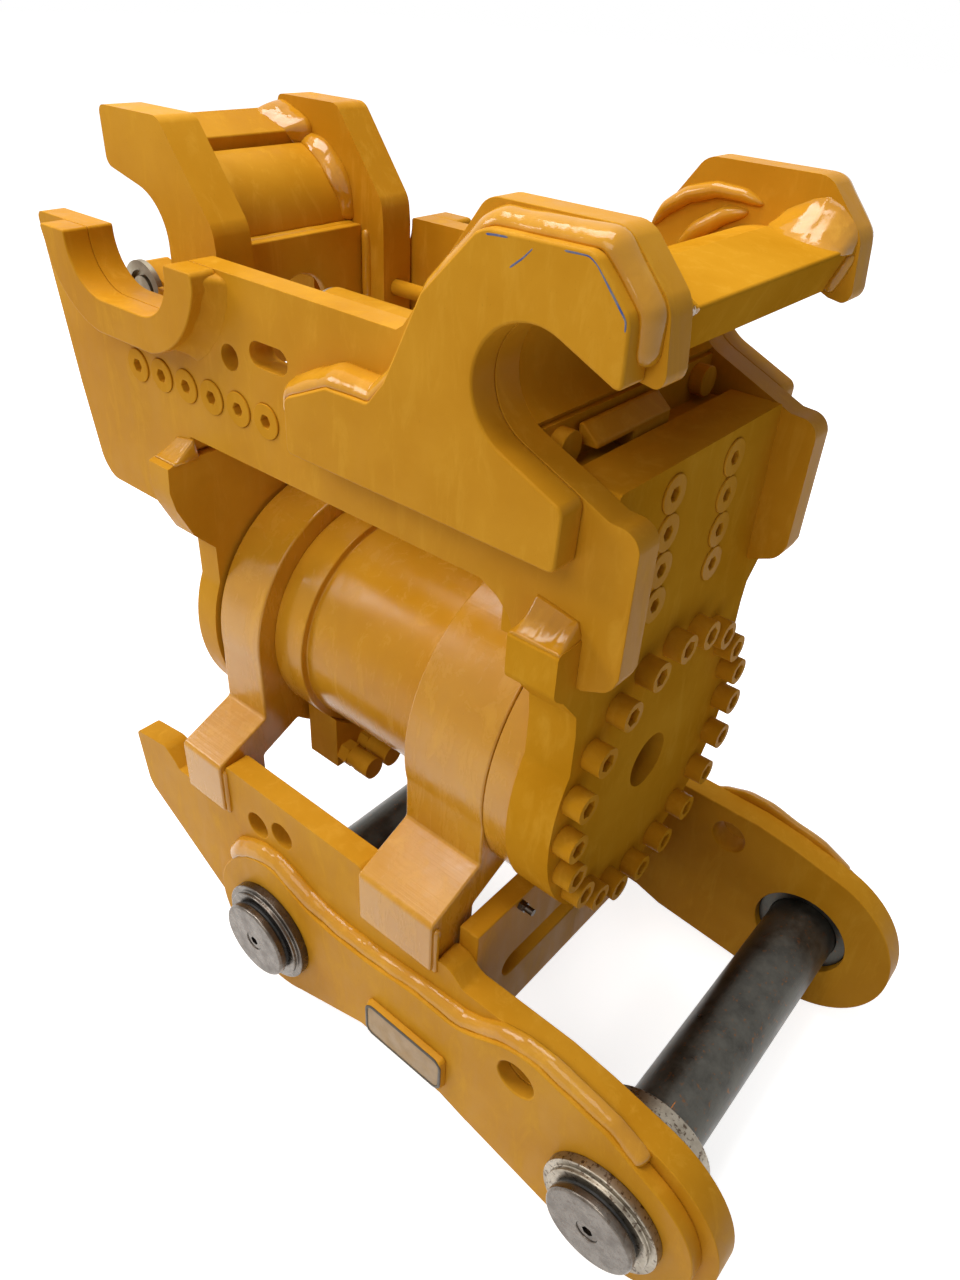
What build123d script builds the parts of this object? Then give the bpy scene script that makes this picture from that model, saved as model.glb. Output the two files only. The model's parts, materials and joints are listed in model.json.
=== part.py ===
"""Tilting quick coupler for a 12 to 15 tonne excavator, lying on the bosses of its bracket.

Millimetres, +Z up. X runs along the tilt axis towards the hook, Y across the coupler.
The origin lies on the ground under the middle of the coupler. Profiles are drawn about the
tilt axis, in its own (x, z) or (y, z) coordinates, on the planes that side() and end() give.
"""
from build123d import *
from math import acos, atan2, cos, degrees, hypot, radians, sin, sqrt
import os

os.makedirs("parts", exist_ok=True)

# Fits and gaps, on the radius or on one side
FIT = 0.2
RUN = 0.1
SLIDE = 0.5
FLANGE_GAP = 1.0
RUN_OUT = 1.0
REAR_GAP = 3.0

# Screws: M16 cap screws and M16 countersunk screws
SCREW_R = 8.0
HEAD_R = 12.25
HEAD_H = 16.0
SUNK_R = 14.0
SUNK_DEPTH = 7.5
SUNK_PROUD = 1.5
SOCKET_R = 7.6
SOCKET_DEPTH = 7.0

# Bracket: pins of the stick and the link, plates, doublers
PIN_R = 35.0
PIN_DROP = 260.5
REAR_PIN_X = -75.5
FRONT_PIN_X = 321.5
BOSS_R = 92.0
BRACKET_Y = 157.0
BRACKET_T = 25.0
DOUBLER_T = 14.0
DOUBLER_STEP = 14.0
PAD_LENGTH = 93.0
PAD_HEIGHT = 43.0
PAD_T = 7.0
CROSS_GAP = 4.0
CROSS_T = 20.0
CROSS_RISE = 141.5
CROSS_H = 151.0
CROSS_SLOT_W = 26.0
GREASE_INSET = 57.0
BUSH_WALL = 12.0
BUSH_RING_W = 6.0
BUSH_RING_T = 9.0
BUSH_PROUD = 13.0
BUSH_RECESS = 8.0
COLLAR_W = 18.0
COLLAR_T = 16.0
NECK_W = 5.0
NECK_T = 20.0
ORING_T = 2.0
CAP_OVER = 5.0
CAP_T = 9.0
CAP_SCREW_R = 6.0
CAP_HEAD_R = 9.5
CAP_HEAD_H = 6.0
CAP_SCREW_L = 30.0

# Rotary actuator, stations along its axis
BARREL_X = -144.0
BARREL_L = 186.0
BARREL_R = 105.0
BARREL_WALL = 20.0
WELD_COLLAR_L = 37.0
WELD_COLLAR_T = 7.0
REAR_FLANGE_T = 56.0
REAR_FLANGE_R = 130.5
FRONT_FLANGE_T = 84.0
FRONT_FLANGE_R = 133.5
FOOT_WALL_INSET = 27.0
FOOT_OVER = 6.0
FOOT_INSET = 22.0
SHOULDER_TOP = -72.0
SHOULDER_EDGE = -98.0
FOOT_Z = -155.0
SHAFT_R = 45.0
JOURNAL_R = 80.0
SHAFT_FLANGE_T = 25.0
SHAFT_END_STEP = 5.0
HUB_R = 70.0
BEARING_T = 12.0
SEAL_L = 10.0
LIP_T = 8.0
PISTON_L = 40.0
SLEEVE_INSET = 19.0
SLEEVE_L = 82.0
RING_GEAR_L = 62.0
PORT_BLOCK = (40.0, 50.0, 60.0)
PORT_BLOCK_AT = (-120.0, -55.0, -140.0)
HOSE_R = 13.5
HOSE_L = 40.0
HOSE_HEX_L = 12.0
HOSE_PITCH = 26.0
PORT_Z = -125.0

# End plates of the hitch
FRONT_PLATE_T = 40.5
FRONT_PLATE_R = 136.0
REAR_PLATE_T = 27.0
REAR_PLATE_R = 133.0
SCREW_RING_INSET = 16.0
SCREW_COUNT = 20
REAR_RING_R = 55.0
REAR_SCREW_COUNT = 12
WING_REACH = 24.0
BORE_R = 25.0

# Hitch side plates, hook, saddle
ATTACH_R = 40.0
ATTACH_Z = 337.5
THROAT_INSET = 41.5
SADDLE_REAR_X = -273.0
SADDLE_FRONT_X = -222.0
HITCH_Y = 108.0
HITCH_T = 22.0
TOP_RISE = 4.9
HOOK_RISE = 92.5
BELLY_DROP = 141.5
REAR_REACH = 118.0
REAR_LEG_L = 83.0
FRONT_REACH = 30.2
FRONT_LEG_L = 47.5
LEG_BACK = 12.5
LINER_T = 16.0
SIGHT_HOLE_R = 10.0
SIGHT_SLOT = (42.0, 19.0)

# Front cross block, throat block and latch
BLOCK_T = 40.0
BLOCK_GAP = 11.5
BLOCK_DROP = 67.5
BLOCK_SCREW_Y = 40.7
BLOCK_SCREW_DROP = 12.8
BLOCK_SCREW_PITCH = 28.5
THROAT_BLOCK_T = 35.0
THROAT_BLOCK_H = 30.0
LATCH_T = 16.0
LATCH_Y = (-70.0, 20.0)
LATCH_STEM_Y = (-26.0, 20.0)
LATCH_HEAD_H = 14.0
LATCH_NOSE_H = 4.0
LATCH_STEM_L = 46.0
LATCH_POCKET_L = 74.0
SPRING_R = 6.5
SPRING_WIRE_R = 1.5
SPRING_TURNS = 5

# Jaw, its rails, rods and lock cylinder
JAW_GAP = 3.2
JAW_T = 33.8
JAW_BACK = 8.0
JAW_RISE = 90.5
JAW_AHEAD = 100.0
JAW_BEHIND = 24.0
JAW_DROP = 125.5
TAIL_DROP = 49.5
LUG_T = 26.0
JAW_PLATE_H = 102.5
RAIL_T = 20.0
RAIL_L = 195.0
RAIL_H = 26.0
RAIL_DROP = 109.5
RAIL_SCREW_INSET = 15.5
RAIL_SCREW_PITCH = 32.9
RAIL_SCREW_COUNT = 6
ROD_INSET = 16.0
ROD_DROP = 51.5
ROD_R = 7.0
ROD_END_R = 11.5
ROD_END_L = 11.0
ROD_GRIP = 19.0
CYL_DROP = 59.5
CYL_R = 25.0
CYL_BORE = 20.0
CYL_GAP = 11.0
GLAND_L = 22.0
CYL_ROD_R = 12.5
ANCHOR_BACK = 19.0
ANCHOR_R = 12.0
ANCHOR_LUG_Y = 26.0
ANCHOR_LUG_T = 18.0
EYE_R = 24.0
EYE_T = 36.0
ROD_PIN_BACK = 30.0
ROD_PIN_R = 16.0
ROD_PIN_RING_R = 26.0
ROD_PIN_RING_T = 5.0

# Stations that follow from the sizes above
BUSH_R = PIN_R + BUSH_WALL
BUSH_RING_R = BUSH_R + BUSH_RING_W
COLLAR_R = BUSH_R + COLLAR_W
NECK_R = BUSH_R + NECK_W
CAP_R = PIN_R + CAP_OVER
DOUBLER_R = BOSS_R - DOUBLER_STEP
BRACKET_OUT = BRACKET_Y + BRACKET_T
DOUBLER_OUT = BRACKET_OUT + DOUBLER_T
PIN_END = DOUBLER_OUT + BUSH_PROUD + ORING_T
REAR_PIN = (REAR_PIN_X, -PIN_DROP)
FRONT_PIN = (FRONT_PIN_X, -PIN_DROP)
CROSS_TOP = CROSS_RISE - PIN_DROP

BARREL_BORE = BARREL_R - BARREL_WALL
WELD_COLLAR_R = BARREL_R + WELD_COLLAR_T
SLEEVE_R = BARREL_BORE - SLEEVE_INSET
SHAFT_END_R = SHAFT_R - SHAFT_END_STEP
SHAFT_FLANGE_R = FRONT_PLATE_R - 3.0
SCREW_RING_R = FRONT_PLATE_R - SCREW_RING_INSET
BEARING_L = FRONT_FLANGE_T - LIP_T - 2 * SEAL_L
FOOT_WALL_Y = BRACKET_Y - FOOT_WALL_INSET
FOOT_Y = BRACKET_OUT + FOOT_OVER
FOOT_INNER_Y = BRACKET_Y - FOOT_INSET
FRONT_FLANGE_X = BARREL_X + BARREL_L
CROSS_X = FRONT_FLANGE_X + FRONT_FLANGE_T + CROSS_GAP
SHAFT_FLANGE_X = FRONT_FLANGE_X + FRONT_FLANGE_T + FLANGE_GAP
FRONT_PLATE_X = SHAFT_FLANGE_X + SHAFT_FLANGE_T
FACE_X = FRONT_PLATE_X + FRONT_PLATE_T
REAR_FLANGE_X = BARREL_X - REAR_FLANGE_T
REAR_PLATE_X = REAR_FLANGE_X - REAR_GAP
REAR_FACE_X = REAR_PLATE_X - REAR_PLATE_T
HUB_L = BARREL_X - LIP_T - RUN_OUT - REAR_PLATE_X

THROAT_X = FACE_X - THROAT_INSET
THROAT = (THROAT_X, ATTACH_Z)
LINER_R = ATTACH_R + LINER_T
TOP_Z = ATTACH_Z + TOP_RISE
HOOK_TOP = ATTACH_Z + HOOK_RISE
BELLY_Z = ATTACH_Z - BELLY_DROP
HITCH_OUT = HITCH_Y + HITCH_T
REAR_X = SADDLE_REAR_X - REAR_REACH
REAR_LEG_Z = BELLY_Z - REAR_LEG_L
FRONT_X = FACE_X + FRONT_REACH
FRONT_LEG_Z = BELLY_Z - FRONT_LEG_L
LEG_REAR_X = FRONT_PLATE_X - LEG_BACK
WING_TOP = BELLY_Z - 10.0
REAR_WING_TOP = BELLY_Z - 16.0
WING_Y = HITCH_OUT + WING_REACH
FRONT_PLATE_TOP = ATTACH_Z - 58.5
REAR_PLATE_TOP = BELLY_Z + 9.0

BLOCK_REAR_X = FRONT_PLATE_X - BLOCK_T
BLOCK_BOTTOM = FRONT_FLANGE_R + BLOCK_GAP
BLOCK_TOP = ATTACH_Z - BLOCK_DROP
THROAT_BLOCK_X = THROAT_X - LINER_R
THROAT_BLOCK_FRONT = THROAT_BLOCK_X + THROAT_BLOCK_T
THROAT_BLOCK_TOP = BLOCK_TOP + THROAT_BLOCK_H
LATCH_X = (FRONT_PLATE_X - 2 * SLIDE - LATCH_T - 2.0, FRONT_PLATE_X - 2 * SLIDE - 2.0)
LATCH_TOP = ATTACH_Z - ATTACH_R - 1.5
LATCH_HEAD_Z = LATCH_TOP - LATCH_HEAD_H
LATCH_NOSE = LATCH_HEAD_Z + LATCH_NOSE_H
LATCH_BOTTOM = LATCH_HEAD_Z - LATCH_STEM_L
LATCH_POCKET_Z = BLOCK_TOP - LATCH_POCKET_L

JAW_Y = HITCH_Y - JAW_GAP - JAW_T
JAW_OUT = JAW_Y + JAW_T
LUG_Y = JAW_Y - LUG_T
JAW_X = SADDLE_REAR_X - JAW_BACK
JAW_C = (JAW_X, ATTACH_Z)
JAW_TOP = ATTACH_Z + JAW_RISE
JAW_BOTTOM = ATTACH_Z - JAW_DROP
TAIL_TOP = ATTACH_Z - TAIL_DROP
JAW_FRONT_X = JAW_X + JAW_AHEAD
JAW_REAR_X = JAW_X - JAW_BEHIND
RAIL_X = (JAW_X - 4.0, JAW_X - 4.0 + RAIL_L)
RAIL_Z = (ATTACH_Z - RAIL_DROP, ATTACH_Z - RAIL_DROP + RAIL_H)
RAIL_SCREW_X = RAIL_X[0] + RAIL_SCREW_INSET
RAIL_SCREW_Z = (RAIL_Z[0] + RAIL_Z[1]) / 2
ROD_Y = JAW_Y + ROD_INSET
ROD_Z = ATTACH_Z - ROD_DROP
ROD_REAR_X = JAW_FRONT_X - ROD_GRIP
ROD_PIN_X = JAW_REAR_X - ROD_PIN_BACK
ANCHOR_X = THROAT_BLOCK_X - ANCHOR_BACK
CYL_Z = ATTACH_Z - CYL_DROP
CYL_X = (JAW_FRONT_X + CYL_GAP, ANCHOR_X - EYE_R)
AXIS_Z = PIN_DROP + BOSS_R
MID_X = -(REAR_X + FRONT_PIN_X + BOSS_R) / 2


def side(y):
    """A plane across Y, seen from the near side: x to the right, z up, extruding towards -Y."""
    return Plane(origin=(MID_X, y, AXIS_Z), x_dir=(1, 0, 0), z_dir=(0, -1, 0))


def end(x):
    """A plane across the tilt axis: y to the right, z up, extruding towards +X."""
    return Plane(origin=(MID_X + x, 0, AXIS_Z), x_dir=(0, 1, 0), z_dir=(1, 0, 0))


def flat(z):
    """A level plane, extruding upwards."""
    return Plane.XY.move(Location((MID_X, 0, AXIS_Z + z)))


def touch(point, centre, radius, turn):
    """The angle at which a line from a point touches a circle, on the side that turn gives."""
    dx, dz = point[0] - centre[0], point[1] - centre[1]
    return degrees(atan2(dz, dx) + turn * acos(radius / hypot(dx, dz)))


def off(point, x, z):
    """The point x and z away from another one."""
    return (point[0] + x, point[1] + z)


def at(centre, radius, angle):
    """The point on a circle at an angle in degrees."""
    return (centre[0] + radius * cos(radians(angle)), centre[1] + radius * sin(radians(angle)))


def keep(piece, name):
    """Label a finished piece and write it under its node's name."""
    piece.part.label = name
    export_step(piece.part, f"parts/{name}.step")


def keep_pair(near, name):
    """Write a near piece and its mirror image on the far side."""
    with BuildPart() as far:
        mirror(near.part, about=Plane.XZ)
    keep(near, f"{name}_near")
    keep(far, f"{name}_far")


def sunk_screw(length, spare=0.0, proud=SUNK_PROUD):
    """A countersunk screw along Z, its plate face at Z = 0. With spare, the hole that takes it."""
    with BuildPart() as screw:
        with BuildSketch(Plane.XZ):
            with BuildLine():
                Polyline((0, -length - spare), (SCREW_R + spare, -length - spare),
                         (SCREW_R + spare, -SUNK_DEPTH), (SUNK_R + spare, 0),
                         (SUNK_R + spare, proud), (0, proud), (0, -length - spare))
            make_face()
        revolve(axis=Axis.Z)
        if not spare:
            with BuildSketch(Plane.XY.offset(proud)):
                RegularPolygon(SOCKET_R * 0.75, 6)
            extrude(amount=-SOCKET_DEPTH, mode=Mode.SUBTRACT)
    return screw.part


# Bracket plates: two bosses, pockets for the actuator's feet
foot_spans = [(REAR_FLANGE_X, BARREL_X), (FRONT_FLANGE_X, FRONT_FLANGE_X + FRONT_FLANGE_T)]
ear_x = foot_spans[1][1]
front_rise = off(FRONT_PIN, -31.5, BOSS_R + 8.5)
front_fall = off(FRONT_PIN, -58.5, 5.5 - BOSS_R)
rear_fall = off(REAR_PIN, BOSS_R + 16.5, -65.5)
tail_fall = off(REAR_PIN, -BOSS_R - 2.5, -39.5)
tail = (REAR_FLANGE_X, FOOT_Z)
eye_hole = off(FRONT_PIN, -95.5, 70.5)
EYE_HOLE_R = 18.0
HOSE_HOLE_R = 14.0
hose_holes = [(BARREL_X + 43, FOOT_Z + 7.7), (BARREL_X + 78, FOOT_Z + 18.3)]

with BuildPart() as bracket_plate_near:
    with BuildSketch(side(-BRACKET_Y)):
        with BuildLine():
            top = touch(front_rise, FRONT_PIN, BOSS_R, -1)
            low = touch(front_fall, FRONT_PIN, BOSS_R, 1)
            front = CenterArc(FRONT_PIN, BOSS_R, top, -((top - low) % 360))
            start = touch(rear_fall, REAR_PIN, BOSS_R, -1)
            stop = touch(tail_fall, REAR_PIN, BOSS_R, 1)
            rear = CenterArc(REAR_PIN, BOSS_R, start, stop - start)
            Polyline(front @ 1, front_fall, off(FRONT_PIN, -152.5, 12.5 - BOSS_R),
                     off(FRONT_PIN, -183.5, 21.5 - BOSS_R), rear_fall, rear @ 0)
            Polyline(rear @ 1, tail_fall, off(tail, -84, -62), off(tail, -90, -53),
                     off(tail, -98, 11), off(tail, -46, 19), off(tail, -31, 6), off(tail, -26, 0),
                     (foot_spans[0][0], FOOT_Z),
                     (foot_spans[0][1], FOOT_Z), (foot_spans[0][1], SHOULDER_EDGE),
                     (foot_spans[1][0], SHOULDER_EDGE), (foot_spans[1][0], FOOT_Z),
                     (ear_x, FOOT_Z), (ear_x, FOOT_Z + 14), (ear_x + 16, FOOT_Z + 14),
                     (ear_x + 29, FOOT_Z + 2), (ear_x + 35, FOOT_Z), (FRONT_PIN_X - 69.5, FOOT_Z),
                     front_rise, front @ 0)
        make_face()
        with Locations(REAR_PIN, FRONT_PIN):
            Circle(BUSH_R + FIT, mode=Mode.SUBTRACT)
        with Locations(*hose_holes):
            Circle(HOSE_HOLE_R, mode=Mode.SUBTRACT)
        with Locations(eye_hole):
            Circle(EYE_HOLE_R, mode=Mode.SUBTRACT)
    extrude(amount=BRACKET_T)
keep_pair(bracket_plate_near, "bracket_plate")

rear_wave = [(-28.5, 0.5), (5.5, 8.5), (47.5, -7.5), (95.5, -13.5), (145.5, -10.5)]
front_wave = [(-199.5, -3.5), (-157.5, -2.5), (-115.5, 19.5), (-72.5, 26.5)]
wave_points = [off(REAR_PIN, x, DOUBLER_R + z) for x, z in rear_wave]
wave_points += [off(FRONT_PIN, x, DOUBLER_R + z) for x, z in front_wave]
with BuildPart() as bracket_doubler_near:
    with BuildSketch(side(-BRACKET_OUT)):
        with BuildLine():
            front = CenterArc(FRONT_PIN, DOUBLER_R, 62, -160)
            rear = CenterArc(REAR_PIN, DOUBLER_R, -62, -158)
            Polyline(front @ 1, off(FRONT_PIN, -141.5, -47.5), off(FRONT_PIN, -172.5, -37.5),
                     off(REAR_PIN, 124.5, -35.5), rear @ 0)
            wave = Spline(rear @ 1, *wave_points)
            Polyline(wave @ 1, off(FRONT_PIN, -12.5, DOUBLER_R + 14.5), front @ 0)
        make_face()
        with Locations(REAR_PIN, FRONT_PIN):
            Circle(BUSH_R + FIT, mode=Mode.SUBTRACT)
        with Locations(eye_hole):
            Circle(EYE_HOLE_R, mode=Mode.SUBTRACT)
    extrude(amount=DOUBLER_T)
keep_pair(bracket_doubler_near, "bracket_doubler")

with BuildPart() as bracket_cross_plate:
    with BuildSketch(end(CROSS_X)):
        with Locations((0, CROSS_TOP - CROSS_H / 2)):
            Rectangle(2 * BRACKET_Y, CROSS_H)
        Circle(FRONT_PLATE_R + 6, mode=Mode.SUBTRACT)
        with Locations((0, CROSS_TOP - 84)):
            SlotOverall(2 * (BRACKET_Y - 40), CROSS_SLOT_W, mode=Mode.SUBTRACT)
    extrude(amount=CROSS_T)
keep(bracket_cross_plate, "bracket_cross_plate")

with BuildPart() as bare_pads:
    with BuildSketch(side(-DOUBLER_OUT)):
        with Locations(off(FRONT_PIN, -212.5, 0)):
            RectangleRounded(PAD_LENGTH, PAD_HEIGHT, 5)
    extrude(amount=PAD_T, taper=12)
    mirror(about=Plane.XZ)
keep(bare_pads, "bare_pads")


def pin_bush(centre, inner_y, collars):
    """A bush through the near bracket plate and doubler, from inner_y out to its proud face."""
    with BuildPart() as bush:
        with BuildSketch(side(-inner_y)):
            with Locations(centre):
                Circle(BUSH_R)
        extrude(amount=DOUBLER_OUT + BUSH_PROUD - inner_y)
        with BuildSketch(side(-DOUBLER_OUT)):
            with Locations(centre):
                Circle(BUSH_RING_R)
        extrude(amount=BUSH_RING_T)
        if collars:
            with BuildSketch(side(-BRACKET_Y + COLLAR_T)):
                with Locations(centre):
                    Circle(COLLAR_R)
            extrude(amount=COLLAR_T)
            with BuildSketch(side(-BRACKET_Y + COLLAR_T + NECK_T)):
                with Locations(centre):
                    Circle(NECK_R)
            extrude(amount=NECK_T)
        with BuildSketch(side(0)):
            with Locations(centre):
                Circle(PIN_R + FIT)
        extrude(amount=2 * PIN_END, mode=Mode.SUBTRACT)
    return bush


keep(pin_bush(FRONT_PIN, BRACKET_Y, True), "pin_bush_front_near")
keep(pin_bush(REAR_PIN, BRACKET_Y, False), "pin_bush_rear_near")
for bush_name, centre in (("pin_bush_front_far", FRONT_PIN), ("pin_bush_rear_far", REAR_PIN)):
    near_bush = pin_bush(centre, BRACKET_Y + BUSH_RECESS, False)
    with BuildPart() as far_bush:
        mirror(near_bush.part, about=Plane.XZ)
    keep(far_bush, bush_name)

for pin_name, centre in (("front_pin", FRONT_PIN), ("rear_pin", REAR_PIN)):
    with BuildPart() as pin:
        with BuildSketch(side(PIN_END)):
            with Locations(centre):
                Circle(PIN_R)
        extrude(amount=2 * PIN_END)
        with BuildSketch(side(-PIN_END), side(PIN_END)):
            with Locations(centre):
                Circle(CAP_SCREW_R + FIT)
        extrude(amount=CAP_SCREW_L, both=True, mode=Mode.SUBTRACT)
    keep(pin, pin_name)

    with BuildPart() as caps:
        with BuildSketch(side(-PIN_END)):
            with Locations(centre):
                Circle(CAP_R)
        extrude(amount=CAP_T)
        chamfer(caps.edges().filter_by(GeomType.CIRCLE), 1.5)
        with BuildSketch(side(-PIN_END)):
            with Locations(centre):
                Circle(CAP_SCREW_R + FIT)
        extrude(amount=CAP_T, mode=Mode.SUBTRACT)
        with BuildSketch(side(-PIN_END - CAP_T)):
            with Locations(centre):
                Circle(CAP_HEAD_R + FIT)
        extrude(amount=-CAP_HEAD_H, mode=Mode.SUBTRACT)
        mirror(about=Plane.XZ)
    keep(caps, pin_name + "_caps")

with BuildPart() as pin_cap_screws:
    with BuildSketch(side(-PIN_END - CAP_T + CAP_HEAD_H)):
        with Locations(FRONT_PIN, REAR_PIN):
            Circle(CAP_HEAD_R)
    extrude(amount=CAP_HEAD_H - 1)
    with BuildSketch(side(-PIN_END - CAP_T + 1)):
        with Locations(FRONT_PIN, REAR_PIN):
            RegularPolygon(5, 6)
    extrude(amount=-CAP_HEAD_H + 2, mode=Mode.SUBTRACT)
    with BuildSketch(side(-PIN_END - CAP_T + CAP_HEAD_H)):
        with Locations(FRONT_PIN, REAR_PIN):
            Circle(CAP_SCREW_R)
    extrude(amount=-CAP_SCREW_L + CAP_HEAD_H)
    mirror(about=Plane.XZ)
keep(pin_cap_screws, "pin_cap_screws")

with BuildPart() as pin_orings:
    with BuildSketch(side(-PIN_END + ORING_T)):
        with Locations(FRONT_PIN, REAR_PIN):
            Circle(CAP_R - 2)
            Circle(PIN_R + FIT, mode=Mode.SUBTRACT)
    extrude(amount=ORING_T)
    mirror(about=Plane.XZ)
keep(pin_orings, "pin_orings")


# Rotary actuator
with BuildPart() as actuator_barrel:
    with BuildSketch(end(BARREL_X)):
        Circle(BARREL_R)
    extrude(amount=BARREL_L)
    with BuildSketch(end(BARREL_X)):
        Circle(WELD_COLLAR_R)
    extrude(amount=WELD_COLLAR_L)
    with BuildSketch(end(BARREL_X)):
        Circle(BARREL_BORE)
    extrude(amount=BARREL_L, mode=Mode.SUBTRACT)
keep(actuator_barrel, "actuator_barrel")


def flange_with_feet(x, thickness, radius, bore, lip, lip_at_front):
    """A round flange whose two feet stand on the bracket plates. A lip keeps what is inside."""
    drop = sqrt(radius ** 2 - FOOT_WALL_Y ** 2) if radius > FOOT_WALL_Y else 0.0
    with BuildPart() as flange:
        with BuildSketch(end(x)):
            Circle(radius)
            for sign in (1, -1):
                with BuildLine():
                    Polyline((0, -drop), (sign * FOOT_WALL_Y, -drop),
                             (sign * FOOT_WALL_Y, SHOULDER_TOP), (sign * FOOT_Y, SHOULDER_EDGE),
                             (sign * FOOT_Y, FOOT_Z), (sign * FOOT_INNER_Y, FOOT_Z),
                             (sign * FOOT_INNER_Y, FOOT_Z + 40), (sign * 90, -94), (0, -drop))
                make_face()
            Circle(lip, mode=Mode.SUBTRACT)
        extrude(amount=thickness)
        start = x if lip_at_front else x + LIP_T
        with BuildSketch(end(start)):
            Circle(bore)
        extrude(amount=thickness - LIP_T, mode=Mode.SUBTRACT)
    return flange


front_bore = JOURNAL_R + BEARING_T
rear_bore = HUB_R + BEARING_T
journal_x = FRONT_FLANGE_X + LIP_T
keep(flange_with_feet(FRONT_FLANGE_X, FRONT_FLANGE_T, FRONT_FLANGE_R, front_bore,
                      JOURNAL_R + 2, False), "front_flange_foot")
keep(flange_with_feet(REAR_FLANGE_X, REAR_FLANGE_T, REAR_FLANGE_R, rear_bore,
                      SHAFT_R + 12, True), "rear_flange_foot")

with BuildPart() as front_shaft_bearing:
    with BuildSketch(end(journal_x + SLIDE)):
        Circle(front_bore - FIT)
        Circle(JOURNAL_R + RUN, mode=Mode.SUBTRACT)
    extrude(amount=BEARING_L)
keep(front_shaft_bearing, "front_shaft_bearing")

rear_bearing_l = REAR_FLANGE_T - LIP_T - 14
with BuildPart() as rear_shaft_bearing:
    with BuildSketch(end(BARREL_X - LIP_T - SLIDE - rear_bearing_l)):
        Circle(rear_bore - FIT)
        Circle(HUB_R + RUN, mode=Mode.SUBTRACT)
    extrude(amount=rear_bearing_l)
keep(rear_shaft_bearing, "rear_shaft_bearing")

with BuildPart() as shaft_seals:
    with BuildSketch(end(journal_x + 2 * SLIDE + BEARING_L)):
        Circle(front_bore - FIT)
        Circle(JOURNAL_R + RUN, mode=Mode.SUBTRACT)
    extrude(amount=SEAL_L)
    with BuildSketch(end(REAR_FLANGE_X + 1)):
        Circle(rear_bore - FIT)
        Circle(HUB_R + RUN, mode=Mode.SUBTRACT)
    extrude(amount=SEAL_L)
keep(shaft_seals, "shaft_seals")

with BuildPart() as ring_gear:
    with BuildSketch(end(FRONT_FLANGE_X - RING_GEAR_L)):
        Circle(BARREL_BORE - FIT)
        Circle(SLEEVE_R + SLIDE, mode=Mode.SUBTRACT)
    extrude(amount=RING_GEAR_L)
keep(ring_gear, "ring_gear")

piston_x = BARREL_X + 44
with BuildPart() as helical_piston:
    with BuildSketch(end(piston_x)):
        Circle(BARREL_BORE - SLIDE)
    extrude(amount=PISTON_L)
    with BuildSketch(end(piston_x + PISTON_L)):
        Circle(SLEEVE_R)
    extrude(amount=SLEEVE_L)
    with BuildSketch(end(piston_x)):
        Circle(SHAFT_R + SLIDE)
    extrude(amount=PISTON_L + SLEEVE_L, mode=Mode.SUBTRACT)
    with BuildSketch(end(piston_x + 14)):
        Circle(BARREL_BORE)
        Circle(BARREL_BORE - 6, mode=Mode.SUBTRACT)
    extrude(amount=10, mode=Mode.SUBTRACT)
keep(helical_piston, "helical_piston")

with BuildPart() as piston_seal:
    with BuildSketch(end(piston_x + 14)):
        Circle(BARREL_BORE - 0.3)
        Circle(BARREL_BORE - 6 + FIT, mode=Mode.SUBTRACT)
    extrude(amount=10)
keep(piston_seal, "piston_seal")

fitting_places = [(PORT_BLOCK_AT[1] - HOSE_PITCH / 2, PORT_Z),
                  (PORT_BLOCK_AT[1] + HOSE_PITCH / 2, PORT_Z)]
with BuildPart() as port_block:
    with BuildSketch(flat(PORT_BLOCK_AT[2])):
        with Locations(PORT_BLOCK_AT[:2]):
            Rectangle(PORT_BLOCK[0], PORT_BLOCK[1])
    extrude(amount=PORT_BLOCK[2] + 30)
    with BuildSketch(end(BARREL_X)):
        Circle(WELD_COLLAR_R + FIT)
    extrude(amount=BARREL_L, mode=Mode.SUBTRACT)
    block_front = PORT_BLOCK_AT[0] + PORT_BLOCK[0] / 2
    with BuildSketch(end(block_front)):
        with Locations(*fitting_places):
            Circle(SCREW_R)
    extrude(amount=-16, mode=Mode.SUBTRACT)
keep(port_block, "port_block")

with BuildPart() as port_fittings:
    with BuildSketch(end(block_front)):
        with Locations(*fitting_places):
            RegularPolygon(HOSE_R * 0.93, 6)
    extrude(amount=HOSE_HEX_L)
    with BuildSketch(end(block_front + HOSE_HEX_L)):
        with Locations(*fitting_places):
            Circle(HOSE_R * 0.8)
    extrude(amount=HOSE_HEX_L - 2)
    with BuildSketch(end(block_front + 2 * HOSE_HEX_L - 2)):
        with Locations(*fitting_places):
            Circle(HOSE_R * 0.855)
    extrude(amount=HOSE_L - 2 * HOSE_HEX_L + 2)
    with BuildSketch(end(block_front)):
        with Locations(*fitting_places):
            Circle(SCREW_R - FIT)
    extrude(amount=-14)
keep(port_fittings, "port_fittings")

grease_at = (GREASE_INSET - BRACKET_Y, CROSS_TOP - 8)
with BuildPart() as grease_fitting:
    with BuildSketch(end(CROSS_X + CROSS_T)):
        with Locations(grease_at):
            RegularPolygon(5, 6)
    extrude(amount=6)
    with BuildSketch(end(CROSS_X + CROSS_T)):
        with Locations(grease_at):
            Circle(3.2)
    extrude(amount=14)
keep(grease_fitting, "grease_fitting")

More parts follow.
